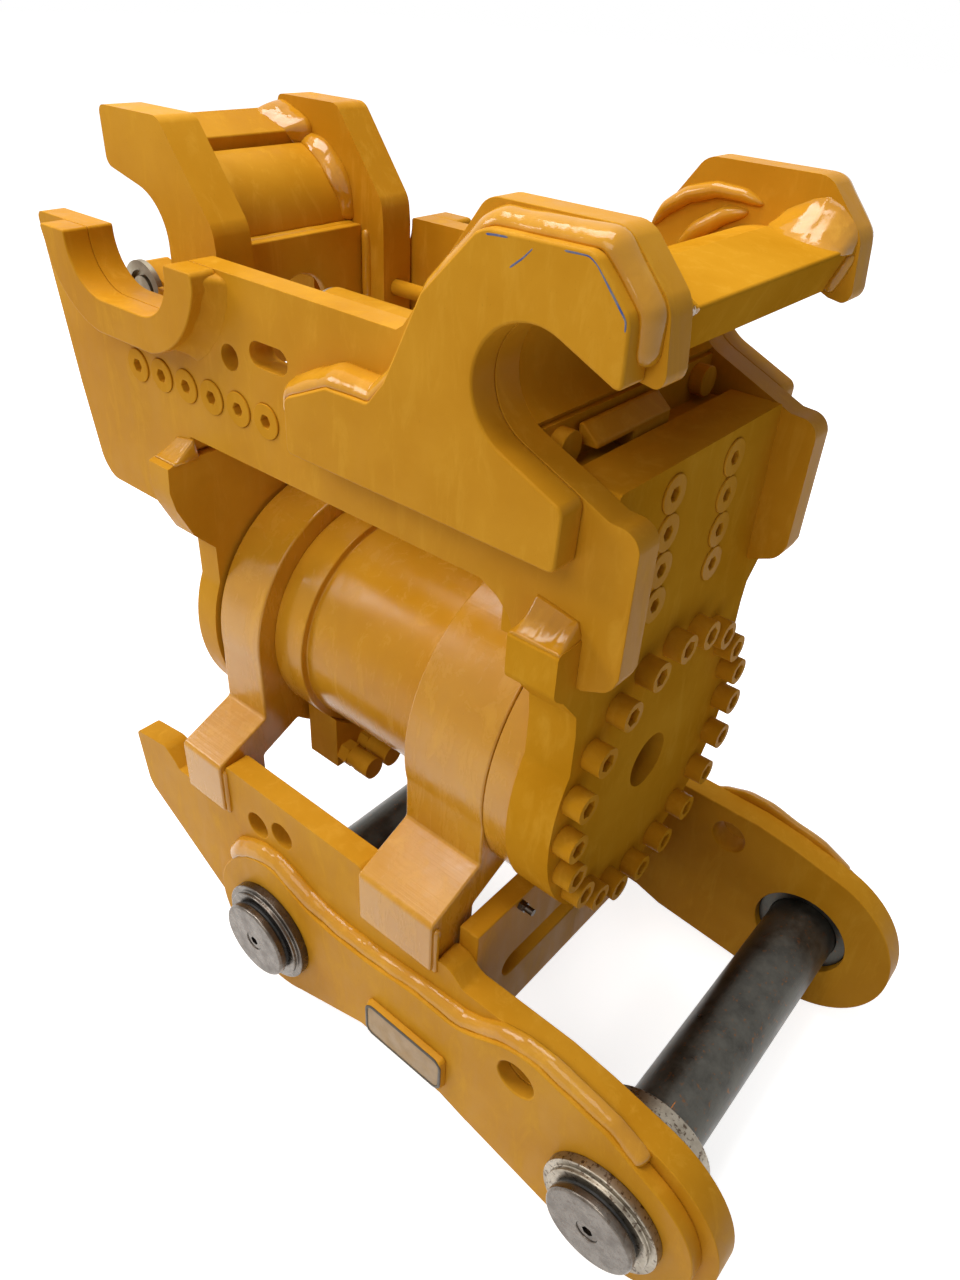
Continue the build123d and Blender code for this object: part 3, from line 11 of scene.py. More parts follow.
import bmesh
import bpy
import numpy as np
from mathutils import Matrix, Vector
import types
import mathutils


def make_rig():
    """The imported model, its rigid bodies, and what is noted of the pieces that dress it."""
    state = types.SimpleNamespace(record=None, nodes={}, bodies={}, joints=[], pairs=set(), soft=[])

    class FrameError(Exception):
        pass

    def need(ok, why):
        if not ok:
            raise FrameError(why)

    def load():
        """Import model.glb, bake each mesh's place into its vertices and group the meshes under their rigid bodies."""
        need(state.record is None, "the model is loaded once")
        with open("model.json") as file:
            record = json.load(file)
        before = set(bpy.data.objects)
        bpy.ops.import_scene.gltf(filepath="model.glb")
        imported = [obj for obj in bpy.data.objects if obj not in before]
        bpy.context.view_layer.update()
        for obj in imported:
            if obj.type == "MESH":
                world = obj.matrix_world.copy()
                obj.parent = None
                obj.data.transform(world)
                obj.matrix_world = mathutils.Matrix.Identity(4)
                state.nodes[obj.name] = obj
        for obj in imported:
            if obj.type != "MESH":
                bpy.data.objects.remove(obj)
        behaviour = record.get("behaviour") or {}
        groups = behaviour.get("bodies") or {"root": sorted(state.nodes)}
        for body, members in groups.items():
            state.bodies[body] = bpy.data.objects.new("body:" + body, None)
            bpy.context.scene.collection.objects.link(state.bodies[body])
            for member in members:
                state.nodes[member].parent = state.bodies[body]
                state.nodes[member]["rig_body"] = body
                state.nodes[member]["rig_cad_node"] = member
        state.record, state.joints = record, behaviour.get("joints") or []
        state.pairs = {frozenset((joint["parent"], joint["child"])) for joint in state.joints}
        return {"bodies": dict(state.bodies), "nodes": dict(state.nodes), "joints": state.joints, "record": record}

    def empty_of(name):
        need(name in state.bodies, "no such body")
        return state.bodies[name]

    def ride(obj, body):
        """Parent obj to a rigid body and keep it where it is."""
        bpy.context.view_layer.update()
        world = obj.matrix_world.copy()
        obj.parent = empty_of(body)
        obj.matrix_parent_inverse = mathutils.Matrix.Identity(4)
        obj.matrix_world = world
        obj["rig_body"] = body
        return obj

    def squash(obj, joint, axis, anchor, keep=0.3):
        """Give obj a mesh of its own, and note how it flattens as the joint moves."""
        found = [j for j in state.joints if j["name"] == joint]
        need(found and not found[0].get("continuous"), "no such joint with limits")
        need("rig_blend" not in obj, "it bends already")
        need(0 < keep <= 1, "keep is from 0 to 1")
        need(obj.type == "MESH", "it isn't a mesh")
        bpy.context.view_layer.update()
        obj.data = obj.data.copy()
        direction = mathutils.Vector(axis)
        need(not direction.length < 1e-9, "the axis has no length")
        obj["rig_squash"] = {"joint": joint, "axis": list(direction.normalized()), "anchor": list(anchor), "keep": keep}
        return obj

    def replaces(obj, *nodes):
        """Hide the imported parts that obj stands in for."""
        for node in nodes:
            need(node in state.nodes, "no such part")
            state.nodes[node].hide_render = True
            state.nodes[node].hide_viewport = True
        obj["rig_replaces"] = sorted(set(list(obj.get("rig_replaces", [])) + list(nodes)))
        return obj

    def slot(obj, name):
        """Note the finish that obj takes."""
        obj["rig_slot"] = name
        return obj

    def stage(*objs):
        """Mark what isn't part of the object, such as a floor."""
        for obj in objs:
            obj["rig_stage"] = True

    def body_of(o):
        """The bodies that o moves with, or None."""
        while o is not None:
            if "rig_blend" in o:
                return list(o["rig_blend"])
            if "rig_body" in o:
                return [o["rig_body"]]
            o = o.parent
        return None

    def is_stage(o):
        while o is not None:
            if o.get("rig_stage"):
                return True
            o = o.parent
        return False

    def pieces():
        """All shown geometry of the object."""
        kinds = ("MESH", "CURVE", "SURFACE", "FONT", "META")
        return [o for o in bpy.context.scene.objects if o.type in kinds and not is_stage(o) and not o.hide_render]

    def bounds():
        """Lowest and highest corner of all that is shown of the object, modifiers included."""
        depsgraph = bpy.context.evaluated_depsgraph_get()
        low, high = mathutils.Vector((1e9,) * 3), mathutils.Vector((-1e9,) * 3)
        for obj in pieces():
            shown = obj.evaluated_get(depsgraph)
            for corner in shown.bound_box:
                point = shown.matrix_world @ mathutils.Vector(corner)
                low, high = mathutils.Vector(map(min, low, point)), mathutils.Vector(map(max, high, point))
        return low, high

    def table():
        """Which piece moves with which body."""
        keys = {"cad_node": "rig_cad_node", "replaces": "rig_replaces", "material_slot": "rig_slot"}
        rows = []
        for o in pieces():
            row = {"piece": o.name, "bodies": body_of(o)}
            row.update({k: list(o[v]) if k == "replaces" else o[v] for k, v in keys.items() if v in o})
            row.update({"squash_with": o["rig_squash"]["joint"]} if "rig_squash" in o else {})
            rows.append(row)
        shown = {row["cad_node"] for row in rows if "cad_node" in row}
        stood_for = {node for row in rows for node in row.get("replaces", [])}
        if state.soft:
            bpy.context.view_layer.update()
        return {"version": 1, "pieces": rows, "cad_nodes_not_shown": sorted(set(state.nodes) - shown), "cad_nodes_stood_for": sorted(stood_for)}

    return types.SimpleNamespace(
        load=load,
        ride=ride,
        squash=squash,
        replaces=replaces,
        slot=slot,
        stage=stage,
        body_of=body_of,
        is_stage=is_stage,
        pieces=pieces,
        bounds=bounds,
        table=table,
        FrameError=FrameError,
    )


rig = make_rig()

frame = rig.load()
cad_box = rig.bounds()
nodes = frame["nodes"]
record = frame["record"]
body_of_node = {node: body for body, held in record["behaviour"]["bodies"].items() for node in held}
slot_of_node = {part["node"]: part["material_slot"] for part in record["subparts"]}
tilt = next(joint for joint in record["behaviour"]["joints"] if joint["name"] == "tilt")
AXIS = np.array(tilt["pos_m"])
MM = 0.001
SIDES = (("near", -1), ("far", 1))
print("frame:", len(nodes), "nodes, tilt axis at", AXIS)

# %% [markdown]
# ## The camera
# A photograph fixes where the camera stood. Its place is written about the tilt axis, as three
# unit vectors and a point, because every size of the coupler is measured from that axis too.

# %% Camera
EYE = np.array([447.2, -556.97, 529.09]) * MM
RIGHT = Vector((0.7627, 0.6448, 0.0505))
DOWN = Vector((0.4035, -0.4134, -0.8163))
FOCAL_PX = 957.35
PHOTO_HEIGHT_PX = 1280.0


def add_camera():
    """A camera at the eye point, its local axes right, up and back."""
    lens = bpy.data.cameras.new("photo_camera")
    lens.sensor_fit = "VERTICAL"
    lens.sensor_height = 36.0
    lens.lens = lens.sensor_height * FOCAL_PX / PHOTO_HEIGHT_PX
    camera = bpy.data.objects.new("photo_camera", lens)
    right = RIGHT.normalized()
    up = (-DOWN - right * (-DOWN).dot(right)).normalized()
    back = right.cross(up)
    camera.matrix_world = Matrix.Translation(Vector(AXIS + EYE)) @ Matrix(
        (right, up, back)).transposed().to_4x4()
    bpy.context.scene.collection.objects.link(camera)
    bpy.context.scene.camera = camera
    return camera


print("camera at", list(add_camera().matrix_world.translation))

# %% [markdown]
# ## Floor, backdrop and light
# The coupler was shot in soft daylight against white: the tops are bright, the near side is
# middling and the front end is in half shade. A big lamp above, a small one on the left, a weak one
# on the near side and a dim sky give that. The white comes from the floor's own colour and from
# the world as the camera sees it, never from more light on the paint.

# %% Stage
FLOOR_SPAN = 30.0


def node_of(tree, kind, **settings):
    """A new shader node with its settings made."""
    node = tree.nodes.new(kind)
    for name, value in settings.items():
        setattr(node, name, value)
    return node


def seen_directly(tree):
    """A factor that is 1 for camera, mirror and glass rays and 0 for the rays that carry light."""
    path = node_of(tree, "ShaderNodeLightPath")
    first = node_of(tree, "ShaderNodeMath", operation="MAXIMUM")
    both = node_of(tree, "ShaderNodeMath", operation="MAXIMUM")
    tree.links.new(path.outputs["Is Camera Ray"], first.inputs[0])
    tree.links.new(path.outputs["Is Transmission Ray"], first.inputs[1])
    tree.links.new(first.outputs[0], both.inputs[0])
    tree.links.new(path.outputs["Is Glossy Ray"], both.inputs[1])
    return both.outputs[0]


def add_world():
    """A dim sky for the light, plain white for what sees it directly."""
    world = bpy.data.worlds.new("studio")
    world.use_nodes = True
    tree = world.node_tree
    tree.nodes.clear()
    sky = node_of(tree, "ShaderNodeBackground")
    sky.inputs["Color"].default_value = (0.93, 0.96, 1.0, 1)
    sky.inputs["Strength"].default_value = 0.19
    white = node_of(tree, "ShaderNodeBackground")
    white.inputs["Color"].default_value = (1, 1, 1, 1)
    mix = node_of(tree, "ShaderNodeMixShader")
    out = node_of(tree, "ShaderNodeOutputWorld")
    tree.links.new(seen_directly(tree), mix.inputs[0])
    tree.links.new(sky.outputs[0], mix.inputs[1])
    tree.links.new(white.outputs[0], mix.inputs[2])
    tree.links.new(mix.outputs[0], out.inputs[0])
    bpy.context.scene.world = world


def add_floor():
    """A wide pale floor: it takes the shadow and returns a little light from below.

    What sees it directly sees its lit colour plus a glow, which grows from 0.8 beside the coupler
    to 1 farther out, so that the shadow stays and the rest is white.
    """
    half = FLOOR_SPAN / 2
    mesh = bpy.data.meshes.new("floor")
    mesh.from_pydata([(-half, -half, 0), (half, -half, 0), (half, half, 0), (-half, half, 0)],
                     [], [(0, 1, 2, 3)])
    floor = bpy.data.objects.new("floor", mesh)
    floor.location.z = -0.0008
    bpy.context.scene.collection.objects.link(floor)
    material = bpy.data.materials.new("floor_white")
    material.use_nodes = True
    tree = material.node_tree
    tree.nodes.clear()
    matte = node_of(tree, "ShaderNodeBsdfDiffuse")
    matte.inputs["Color"].default_value = (0.8, 0.8, 0.79, 1)
    glow = node_of(tree, "ShaderNodeEmission")
    glow.inputs["Color"].default_value = (1, 1, 1, 1)
    spot = node_of(tree, "ShaderNodeTexCoord")
    reach = node_of(tree, "ShaderNodeVectorMath", operation="LENGTH")
    grow = node_of(tree, "ShaderNodeMapRange")
    for name, value in (("From Min", 0.5), ("From Max", 1.3), ("To Min", 0.8), ("To Max", 1.0)):
        grow.inputs[name].default_value = value
    tree.links.new(spot.outputs["Object"], reach.inputs[0])
    tree.links.new(reach.outputs["Value"], grow.inputs["Value"])
    tree.links.new(grow.outputs["Result"], glow.inputs["Strength"])
    lit = node_of(tree, "ShaderNodeAddShader")
    mix = node_of(tree, "ShaderNodeMixShader")
    out = node_of(tree, "ShaderNodeOutputMaterial")
    tree.links.new(matte.outputs[0], lit.inputs[0])
    tree.links.new(glow.outputs[0], lit.inputs[1])
    tree.links.new(seen_directly(tree), mix.inputs[0])
    tree.links.new(matte.outputs[0], mix.inputs[1])
    tree.links.new(lit.outputs[0], mix.inputs[2])
    tree.links.new(mix.outputs[0], out.inputs[0])
    mesh.materials.append(material)
    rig.stage(floor)


def add_lamp(name, place, aim, size, power, tint=(1, 1, 1)):
    """A square area lamp at a place about the axis, turned towards another."""
    lamp = bpy.data.lights.new(name, "AREA")
    lamp.shape = "SQUARE"
    lamp.size = size
    lamp.energy = power
    lamp.color = tint
    holder = bpy.data.objects.new(name, lamp)
    holder.location = Vector(AXIS) + Vector(place)
    direction = Vector(aim) - Vector(place)
    holder.rotation_euler = direction.to_track_quat("-Z", "Y").to_euler()
    bpy.context.scene.collection.objects.link(holder)


add_world()
add_floor()
add_lamp("roof_light", (-0.6, -0.1, 2.6), (0, 0, 0), 1.5, 64)
add_lamp("left_window", (-2.0, -1.3, 1.6), (0, 0, 0), 0.9, 24)
add_lamp("near_fill", (0.3, -1.9, 1.8), (0, 0, 0), 1.2, 18, (1, 0.97, 0.92))
bpy.context.scene.view_settings.view_transform = "Standard"
print("lamps:", [lamp.name for lamp in bpy.data.lights])

# %% [markdown]
# ## Finishes
# The paint is one thick coat over cut plate. Close up it has orange peel, wisps where the spray
# was dry and a browner tone where it pooled, so its colour, its gloss and its relief each come
# from noise of their own size. Object coordinates are metres here, so a noise scale of 500 is a
# grain of about two millimetres.

# %% Material helpers


class Finish:
    """A principled material with noise helpers, all on Object coordinates."""

    def __init__(self, name, roughness, metallic=0.0):
        self.material = bpy.data.materials.new(name)
        self.material.use_nodes = True
        self.tree = self.material.node_tree
        self.shader = self.tree.nodes["Principled BSDF"]
        self.shader.inputs["Roughness"].default_value = roughness
        self.shader.inputs["Metallic"].default_value = metallic
        self.place = node_of(self.tree, "ShaderNodeTexCoord").outputs["Object"]

    def link(self, output, socket):
        """Joins an output to a socket."""
        self.tree.links.new(output, socket)

    def stretched(self, scale):
        """The place with each axis scaled, for brushed or machined lines."""
        mapping = node_of(self.tree, "ShaderNodeMapping")
        mapping.inputs["Scale"].default_value = scale
        self.link(self.place, mapping.inputs["Vector"])
        return mapping.outputs["Vector"]

    def noise(self, scale, detail=3.0, rough=0.55, place=None, distortion=0.0):
        """A noise field between about 0.3 and 0.7."""
        texture = node_of(self.tree, "ShaderNodeTexNoise")
        texture.inputs["Scale"].default_value = scale
        texture.inputs["Detail"].default_value = detail
        texture.inputs["Roughness"].default_value = rough
        texture.inputs["Distortion"].default_value = distortion
        self.link(place or self.place, texture.inputs["Vector"])
        return texture.outputs["Fac"]

    def spread(self, field, low, high, to_low=0.0, to_high=1.0):
        """A field stretched from low..high to another range, held at its ends."""
        ramp = node_of(self.tree, "ShaderNodeMapRange")
        for name, value in zip(("From Min", "From Max", "To Min", "To Max"),
                               (low, high, to_low, to_high)):
            ramp.inputs[name].default_value = value
        self.link(field, ramp.inputs["Value"])
        return ramp.outputs["Result"]

    def blend(self, factor, first, second):
        """One colour, or one colour output, passing into another."""
        mix = node_of(self.tree, "ShaderNodeMix", data_type="RGBA")
        self.link(factor, mix.inputs["Factor"])
        for side, value in (("A", first), ("B", second)):
            socket = next(s for s in mix.inputs if s.name == side and s.type == "RGBA")
            if isinstance(value, tuple):
                socket.default_value = (*value, 1)
            else:
                self.link(value, socket)
        return next(s for s in mix.outputs if s.type == "RGBA")

    def relief(self, *layers):
        """Bumps in a chain, each a (field, height in metres) pair."""
        normal = None
        for field, height in layers:
            bump = node_of(self.tree, "ShaderNodeBump")
            bump.inputs["Strength"].default_value = 1.0
            bump.inputs["Distance"].default_value = height
            self.link(field, bump.inputs["Height"])
            if normal:
                self.link(normal, bump.inputs["Normal"])
            normal = bump.outputs["Normal"]
        self.link(normal, self.shader.inputs["Normal"])

    def colour(self, output):
        """Takes the base colour from an output."""
        self.link(output, self.shader.inputs["Base Color"])

    def roughness(self, output):
        """Takes the roughness from an output."""
        self.link(output, self.shader.inputs["Roughness"])


print("a finish links its noise to the colour, the gloss and the relief")

# %% Ochre paint
OCHRE = (0.62, 0.290, 0.018)
OCHRE_PALE = (0.72, 0.375, 0.040)
OCHRE_DEEP = (0.52, 0.222, 0.008)
OCHRE_STAIN = (0.28, 0.105, 0.006)


def ochre_paint(name, gloss=0.40, peel=0.00005, lines=None, drips=0.0, shine=0.05):
    """The coupler's paint. lines are the scales of machined lines, drips the height of runs."""
    paint = Finish(name, gloss)
    clouds = paint.noise(7.0, 5.0, 0.6)
    wisps = paint.noise(60.0, 6.0, 0.7, paint.stretched((1.0, 1.0, 0.25)), 0.6)
    specks = paint.noise(900.0, 2.0, 0.5)
    tone = paint.blend(paint.spread(clouds, 0.36, 0.66), OCHRE_DEEP, OCHRE)
    tone = paint.blend(paint.spread(wisps, 0.52, 0.78, 0.0, 0.55), tone, OCHRE_PALE)
    tone = paint.blend(paint.spread(specks, 0.70, 0.80, 0.0, 0.5), tone, OCHRE_STAIN)
    paint.colour(tone)
    paint.roughness(paint.spread(wisps, 0.35, 0.75, gloss - 0.08, gloss + 0.16))
    layers = [(paint.noise(420.0, 2.0, 0.5), peel), (paint.noise(45.0, 3.0, 0.5), peel * 3)]
    if lines:
        layers.append((paint.noise(1.0, 2.0, 0.6, paint.stretched(lines)), 0.00012))
    if drips:
        layers.append((paint.noise(95.0, 1.5, 0.35, None, 0.4), drips))
    paint.relief(*layers)
    paint.shader.inputs["Specular IOR Level"].default_value = shine
    return paint.material


print("paint tones from pale to stained:", OCHRE_PALE, OCHRE, OCHRE_DEEP, OCHRE_STAIN)

# %% [markdown]
# Cut plate, machined flanges and weld beads hold the same paint differently. A bead is glossy,
# because the paint pools smoothly over it. The flanges show the lathe's lines through it, and the
# faces that look to the front are dull, since nothing bright stands before them.

# %% Bare metals and rubber


def turned_steel(name, bright, dark, gloss, spots=0.0, lines=(40.0, 40.0, 40.0)):
    """Turned or ground steel: fine lines, dull patches and, with spots, dark handling marks."""
    steel = Finish(name, gloss, 1.0)
    patches = steel.noise(55.0, 5.0, 0.65)
    scratches = steel.noise(30.0, 3.0, 0.6, steel.stretched(lines))
    tone = steel.blend(steel.spread(patches, 0.35, 0.7), bright, dark)
    if spots:
        marks = steel.noise(260.0, 3.0, 0.6)
        tone = steel.blend(steel.spread(marks, 0.56, 0.62, 0.0, spots), tone, (0.07, 0.045, 0.03))
    steel.colour(tone)
    steel.roughness(steel.spread(patches, 0.3, 0.7, gloss - 0.07, gloss + 0.14))
    steel.relief((scratches, 0.00006), (steel.noise(700.0, 2.0), 0.00002))
    return steel.material


def dark_pin():
    """Hardened pin: grey-black scale with rust specks and long scratches."""
    steel = Finish("dark_pin", 0.36, 0.85)
    scale = steel.noise(38.0, 6.0, 0.7)
    rust = steel.noise(210.0, 4.0, 0.6)
    tone = steel.blend(steel.spread(scale, 0.35, 0.7), (0.052, 0.049, 0.042), (0.105, 0.100, 0.085))
    tone = steel.blend(steel.spread(rust, 0.60, 0.68, 0.0, 0.75), tone, (0.17, 0.075, 0.03))
    steel.colour(tone)
    steel.roughness(steel.spread(scale, 0.3, 0.7, 0.26, 0.5))
    steel.relief((steel.noise(25.0, 3.0, 0.6, steel.stretched((30.0, 1.0, 30.0))), 0.00012),
                 (rust, 0.00008))
    return steel.material


def seal_rubber():
    """Black seal rubber, dusty where it is handled."""
    rubber = Finish("seal_rubber", 0.6)
    dust = rubber.noise(180.0, 4.0)
    rubber.colour(rubber.blend(rubber.spread(dust, 0.45, 0.8), (0.012, 0.012, 0.012),
                               (0.05, 0.045, 0.04)))
    rubber.relief((rubber.noise(900.0, 2.0), 0.00004))
    return rubber.material


def bearing_bronze():
    """Bearing bronze, hidden in the flanges."""
    bronze = Finish("bearing_bronze", 0.35, 1.0)
    bronze.colour(bronze.blend(bronze.noise(60.0, 4.0), (0.42, 0.25, 0.10), (0.62, 0.42, 0.20)))
    bronze.relief((bronze.noise(500.0, 2.0), 0.00003))
    return bronze.material


def marker_ink():
    """Blue workshop marker, dry and uneven."""
    ink = Finish("marker_ink", 0.5)
    fade = ink.noise(150.0, 3.0)
    ink.colour(ink.blend(ink.spread(fade, 0.35, 0.65), (0.02, 0.05, 0.20), (0.16, 0.15, 0.16)))
    ink.relief((ink.noise(600.0, 2.0), 0.00002))
    return ink.material


paint_plate = ochre_paint("ochre_plate")
paint_edge = ochre_paint("ochre_machined", gloss=0.24, peel=0.00003, lines=(6.0, 380.0, 380.0),
                         shine=0.42)
paint_round = ochre_paint("ochre_barrel", gloss=0.22, peel=0.00004, shine=0.2)
paint_weld = ochre_paint("ochre_weld", gloss=0.13, peel=0.00002, drips=0.0005, shine=0.3)
paint_lump = ochre_paint("ochre_lump", gloss=0.12, peel=0.00003, drips=0.0010, shine=0.4)
paint_screw = ochre_paint("ochre_screw", gloss=0.38, peel=0.00006, shine=0.015)
paint_front = ochre_paint("ochre_front", gloss=0.50, peel=0.00005, shine=0.0)
metals = {
    "bright_steel": turned_steel("bright_steel", (0.155, 0.135, 0.115), (0.075, 0.06, 0.048), 0.24, 0.5),
    "machined_steel": turned_steel("machined_steel", (0.40, 0.35, 0.26), (0.27, 0.22, 0.15), 0.42),
    "chrome_rod": turned_steel("chrome_rod", (0.75, 0.75, 0.76), (0.62, 0.62, 0.63), 0.10),
    "dark_pin_steel": dark_pin(),
    "black_rubber": seal_rubber(),
    "bronze": bearing_bronze(),
    "yellow_paint": paint_plate,
}
spotted_steel = turned_steel("spotted_steel", (0.34, 0.30, 0.24), (0.18, 0.15, 0.11), 0.30, 0.9)
print("finishes:", len(bpy.data.materials))

# %% [markdown]
# ## Rounded edges
# A plate cut by flame or saw has no knife edge, and a thin line of light along it is what makes
# steel look thick. The nodes themselves must stay as they are, so each visible one is copied, its
# loose triangles are merged into flat faces, and a bevel of a millimetre or two is run round it.

# %% Edge finish
SHARP_ANGLE = radians(29)
CORNER_ANGLE = radians(24)
CORNER_STEPS = 4
WALL_SHARE = 0.45


def weigh_corners(work, axis, reach):
    """Weights for the outward corners that run along an axis, and for no other edge.

    A weight is the wall share times the shortest wall beside the corner over the reach, at most
    1, so two corners that share a short wall don't meet.
    """
    weight = work.edges.layers.float.new("bevel_weight_edge")
    for edge in work.edges:
        run = edge.verts[1].co - edge.verts[0].co
        if not edge.is_manifold or not edge.is_convex or abs(run[axis]) < 0.99 * run.length:
            continue
        if edge.calc_face_angle(0) > CORNER_ANGLE:
            walls = [side.edge.calc_length() for loop in edge.link_loops
                     for side in (loop.link_loop_prev, loop.link_loop_next)]
            edge[weight] = min(1.0, WALL_SHARE * min(walls) / (reach * MM))


def rounded(node, material, width=1.6, segments=2, corner=0.0, axis=1):
    """A copy of a node with its sharp edges rounded, which then stands for the node.

    With corner, the outward corners along the axis are first rounded by about that many
    millimetres, the way a flame cutter eases them.
    """
    mesh = nodes[node].data.copy()
    mesh.name = node + "_finish"
    work = bmesh.new()
    work.from_mesh(mesh)
    bmesh.ops.remove_doubles(work, verts=work.verts, dist=2e-6)
    bmesh.ops.dissolve_limit(work, angle_limit=radians(0.6), verts=work.verts, edges=work.edges)
    for face in work.faces:
        face.smooth = True
        face.material_index = 0
    for edge in work.edges:
        edge.smooth = not (edge.is_manifold and edge.calc_face_angle(0) > SHARP_ANGLE)
    if corner:
        weigh_corners(work, axis, corner)
    work.to_mesh(mesh)
    work.free()
    mesh.materials.clear()
    mesh.materials.append(material)
    piece = bpy.data.objects.new(node + "_finish", mesh)
    bpy.context.scene.collection.objects.link(piece)
    if corner:
        ease = piece.modifiers.new("corner", "BEVEL")
        ease.width = corner * MM
        ease.segments = CORNER_STEPS
        ease.limit_method = "WEIGHT"
        ease.use_clamp_overlap = False
    bevel = piece.modifiers.new("edge", "BEVEL")
    bevel.width = width * MM
    bevel.segments = segments
    bevel.limit_method = "ANGLE"
    bevel.angle_limit = SHARP_ANGLE
    bevel.use_clamp_overlap = True
    bevel.miter_outer = "MITER_ARC"
    shade = piece.modifiers.new("shade", "WEIGHTED_NORMAL")
    shade.keep_sharp = False
    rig.ride(piece, body_of_node[node])
    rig.replaces(piece, node)
    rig.slot(piece, slot_of_node[node])
    return piece


def both(name):
    """The near and far node of a pair."""
    return [name + "_near", name + "_far"]


flame_corners = {"side_plate": 7.0, "hook_doubler": 5.0, "saddle_doubler": 4.0, "jaw_plate": 6.0,
                 "bracket_plate": 6.0, "bracket_doubler": 4.0}
for pair, corner in flame_corners.items():
    for node in both(pair):
        rounded(node, paint_plate, 2.0, corner=corner)
for node in ("rear_end_plate", "bracket_cross_plate", "jaw_top_bar", "jaw_liner", "jaw_front_plate",
             "front_pin_latch"):
    rounded(node, paint_plate)
for node in ("throat_liner", "front_cross_block"):
    rounded(node, paint_front)
rounded("hook_nose_bar", paint_front, corner=3.0)
rounded("front_end_plate", paint_front, corner=4.0, axis=0)
for node in ("front_flange_foot", "rear_flange_foot"):
    rounded(node, paint_edge, 2.2, 3, corner=4.0, axis=0)
rounded("output_shaft", paint_edge, 1.2)
rounded("actuator_barrel", paint_round, 1.5)
rounded("bare_pads", paint_plate, 1.2)
for node in ("front_end_screws", "cross_block_screws", "rail_screws", "rear_end_screws",
             "guide_rods", "port_block", "port_fittings"):
    rounded(node, paint_screw, 0.7)
rounded("pin_bush_front_near", spotted_steel, 1.0)
# The far front bush takes the dark pin finish as painted shade: its bore lies in shadow.
rounded("pin_bush_front_far", metals["dark_pin_steel"], 1.0)
for node in ("pin_bush_rear_near", "pin_bush_rear_far"):
    rounded(node, metals["bright_steel"], 1.0)
for node in ("front_pin_caps", "rear_pin_caps"):
    rounded(node, metals["bright_steel"], 0.8)

for node, holder in nodes.items():
    finish = metals[slot_of_node[node]]
    if not holder.data.materials:
        holder.data.materials.append(finish)
    for place in holder.material_slots:
        place.material = finish
print("rounded pieces:", len([o for o in bpy.data.objects if o.name.endswith("_finish")]))

# %% [markdown]
# The latch spring is the one part that changes its length: it is squeezed as the latch sinks. Its
# copy flattens towards its seat in the block by the latch's stroke. The seat is a point of the
# frame, in metres, and the length and the stroke are in millimetres.

# %% Latch spring
SPRING_LENGTH, LATCH_STROKE = 39.4, 10.0
SPRING_SEAT = (0, 0, 0.5488)
SPRING_KEEP = 1 - LATCH_STROKE / SPRING_LENGTH
spring = bpy.data.objects.new("latch_spring_coil", nodes["latch_spring"].data.copy())
bpy.context.scene.collection.objects.link(spring)
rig.ride(spring, body_of_node["latch_spring"])
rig.replaces(spring, "latch_spring")
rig.slot(spring, slot_of_node["latch_spring"])
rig.squash(spring, "latch_slide", (0, 0, 1), SPRING_SEAT, SPRING_KEEP)
print("spring kept to", SPRING_KEEP, "of its length")

# %% [markdown]
# ## Weld beads
# A bead is a string of melted puddles. As a surface it is a tube of flat oval section along the
# joint: its radius swells once per puddle, drifts slowly with the welder's hand, and closes to
# nothing at both ends. The puddle fronts bow backwards, so the phase of the swelling also depends
# on the angle round the tube.

# %% Bead surface
RING = 14
BEAD_STEP = 1.1
CRESCENT = 2.2


def at(points):
    """Points in millimetres about the tilt axis, as metres in the frame."""
    return AXIS + np.asarray(points, float) * MM


def along(points, step):
    """A path of even steps along straight runs, its corners eased by averaging neighbours."""
    points = np.asarray(points, float)
    reach = np.concatenate([[0], np.cumsum(np.linalg.norm(np.diff(points, axis=0), axis=1))])
    count = max(int(reach[-1] / step), 8)
    place = np.linspace(0, reach[-1], count)
    path = np.stack([np.interp(place, reach, points[:, k]) for k in range(3)], axis=1)
    for _ in range(3):
        path[1:-1] = (path[:-2] + 2 * path[1:-1] + path[2:]) / 4
    return path, place


def slow(place, wave, seed):
    """A smooth random drift between -1 and 1: a sum of four sines with seeded phases."""
    draw = np.random.default_rng(seed)
    turns = 2 * np.pi * place[:, None] / (wave * (0.6 + 0.5 * np.arange(4)))
    return np.sin(turns + draw.uniform(0, 2 * np.pi, 4)).mean(axis=1)


def mesh_piece(name, verts, faces, material, body, slot="yellow_paint"):
    """A closed, smooth mesh as a piece that rides on a body."""
    mesh = bpy.data.meshes.new(name)
    mesh.from_pydata(verts.tolist(), [], faces)
    mesh.materials.append(material)
    work = bmesh.new()
    work.from_mesh(mesh)
    bmesh.ops.recalc_face_normals(work, faces=work.faces)
    work.to_mesh(mesh)
    work.free()
    mesh.polygons.foreach_set("use_smooth", np.ones(len(mesh.polygons), bool))
    piece = bpy.data.objects.new(name, mesh)
    bpy.context.scene.collection.objects.link(piece)
    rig.ride(piece, body)
    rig.slot(piece, slot)
    return piece


def tube_faces(rows, ring):
    """Quads between neighbouring rings, and a fan of one face at each end."""
    row, col = np.meshgrid(np.arange(rows - 1), np.arange(ring), indexing="ij")
    turn = (col + 1) % ring
    quads = np.stack([row * ring + col, row * ring + turn, (row + 1) * ring + turn,
                      (row + 1) * ring + col], axis=-1).reshape(-1, 4)
    ends = [list(range(ring)), list(range((rows - 1) * ring, rows * ring))]
    return quads.tolist() + ends


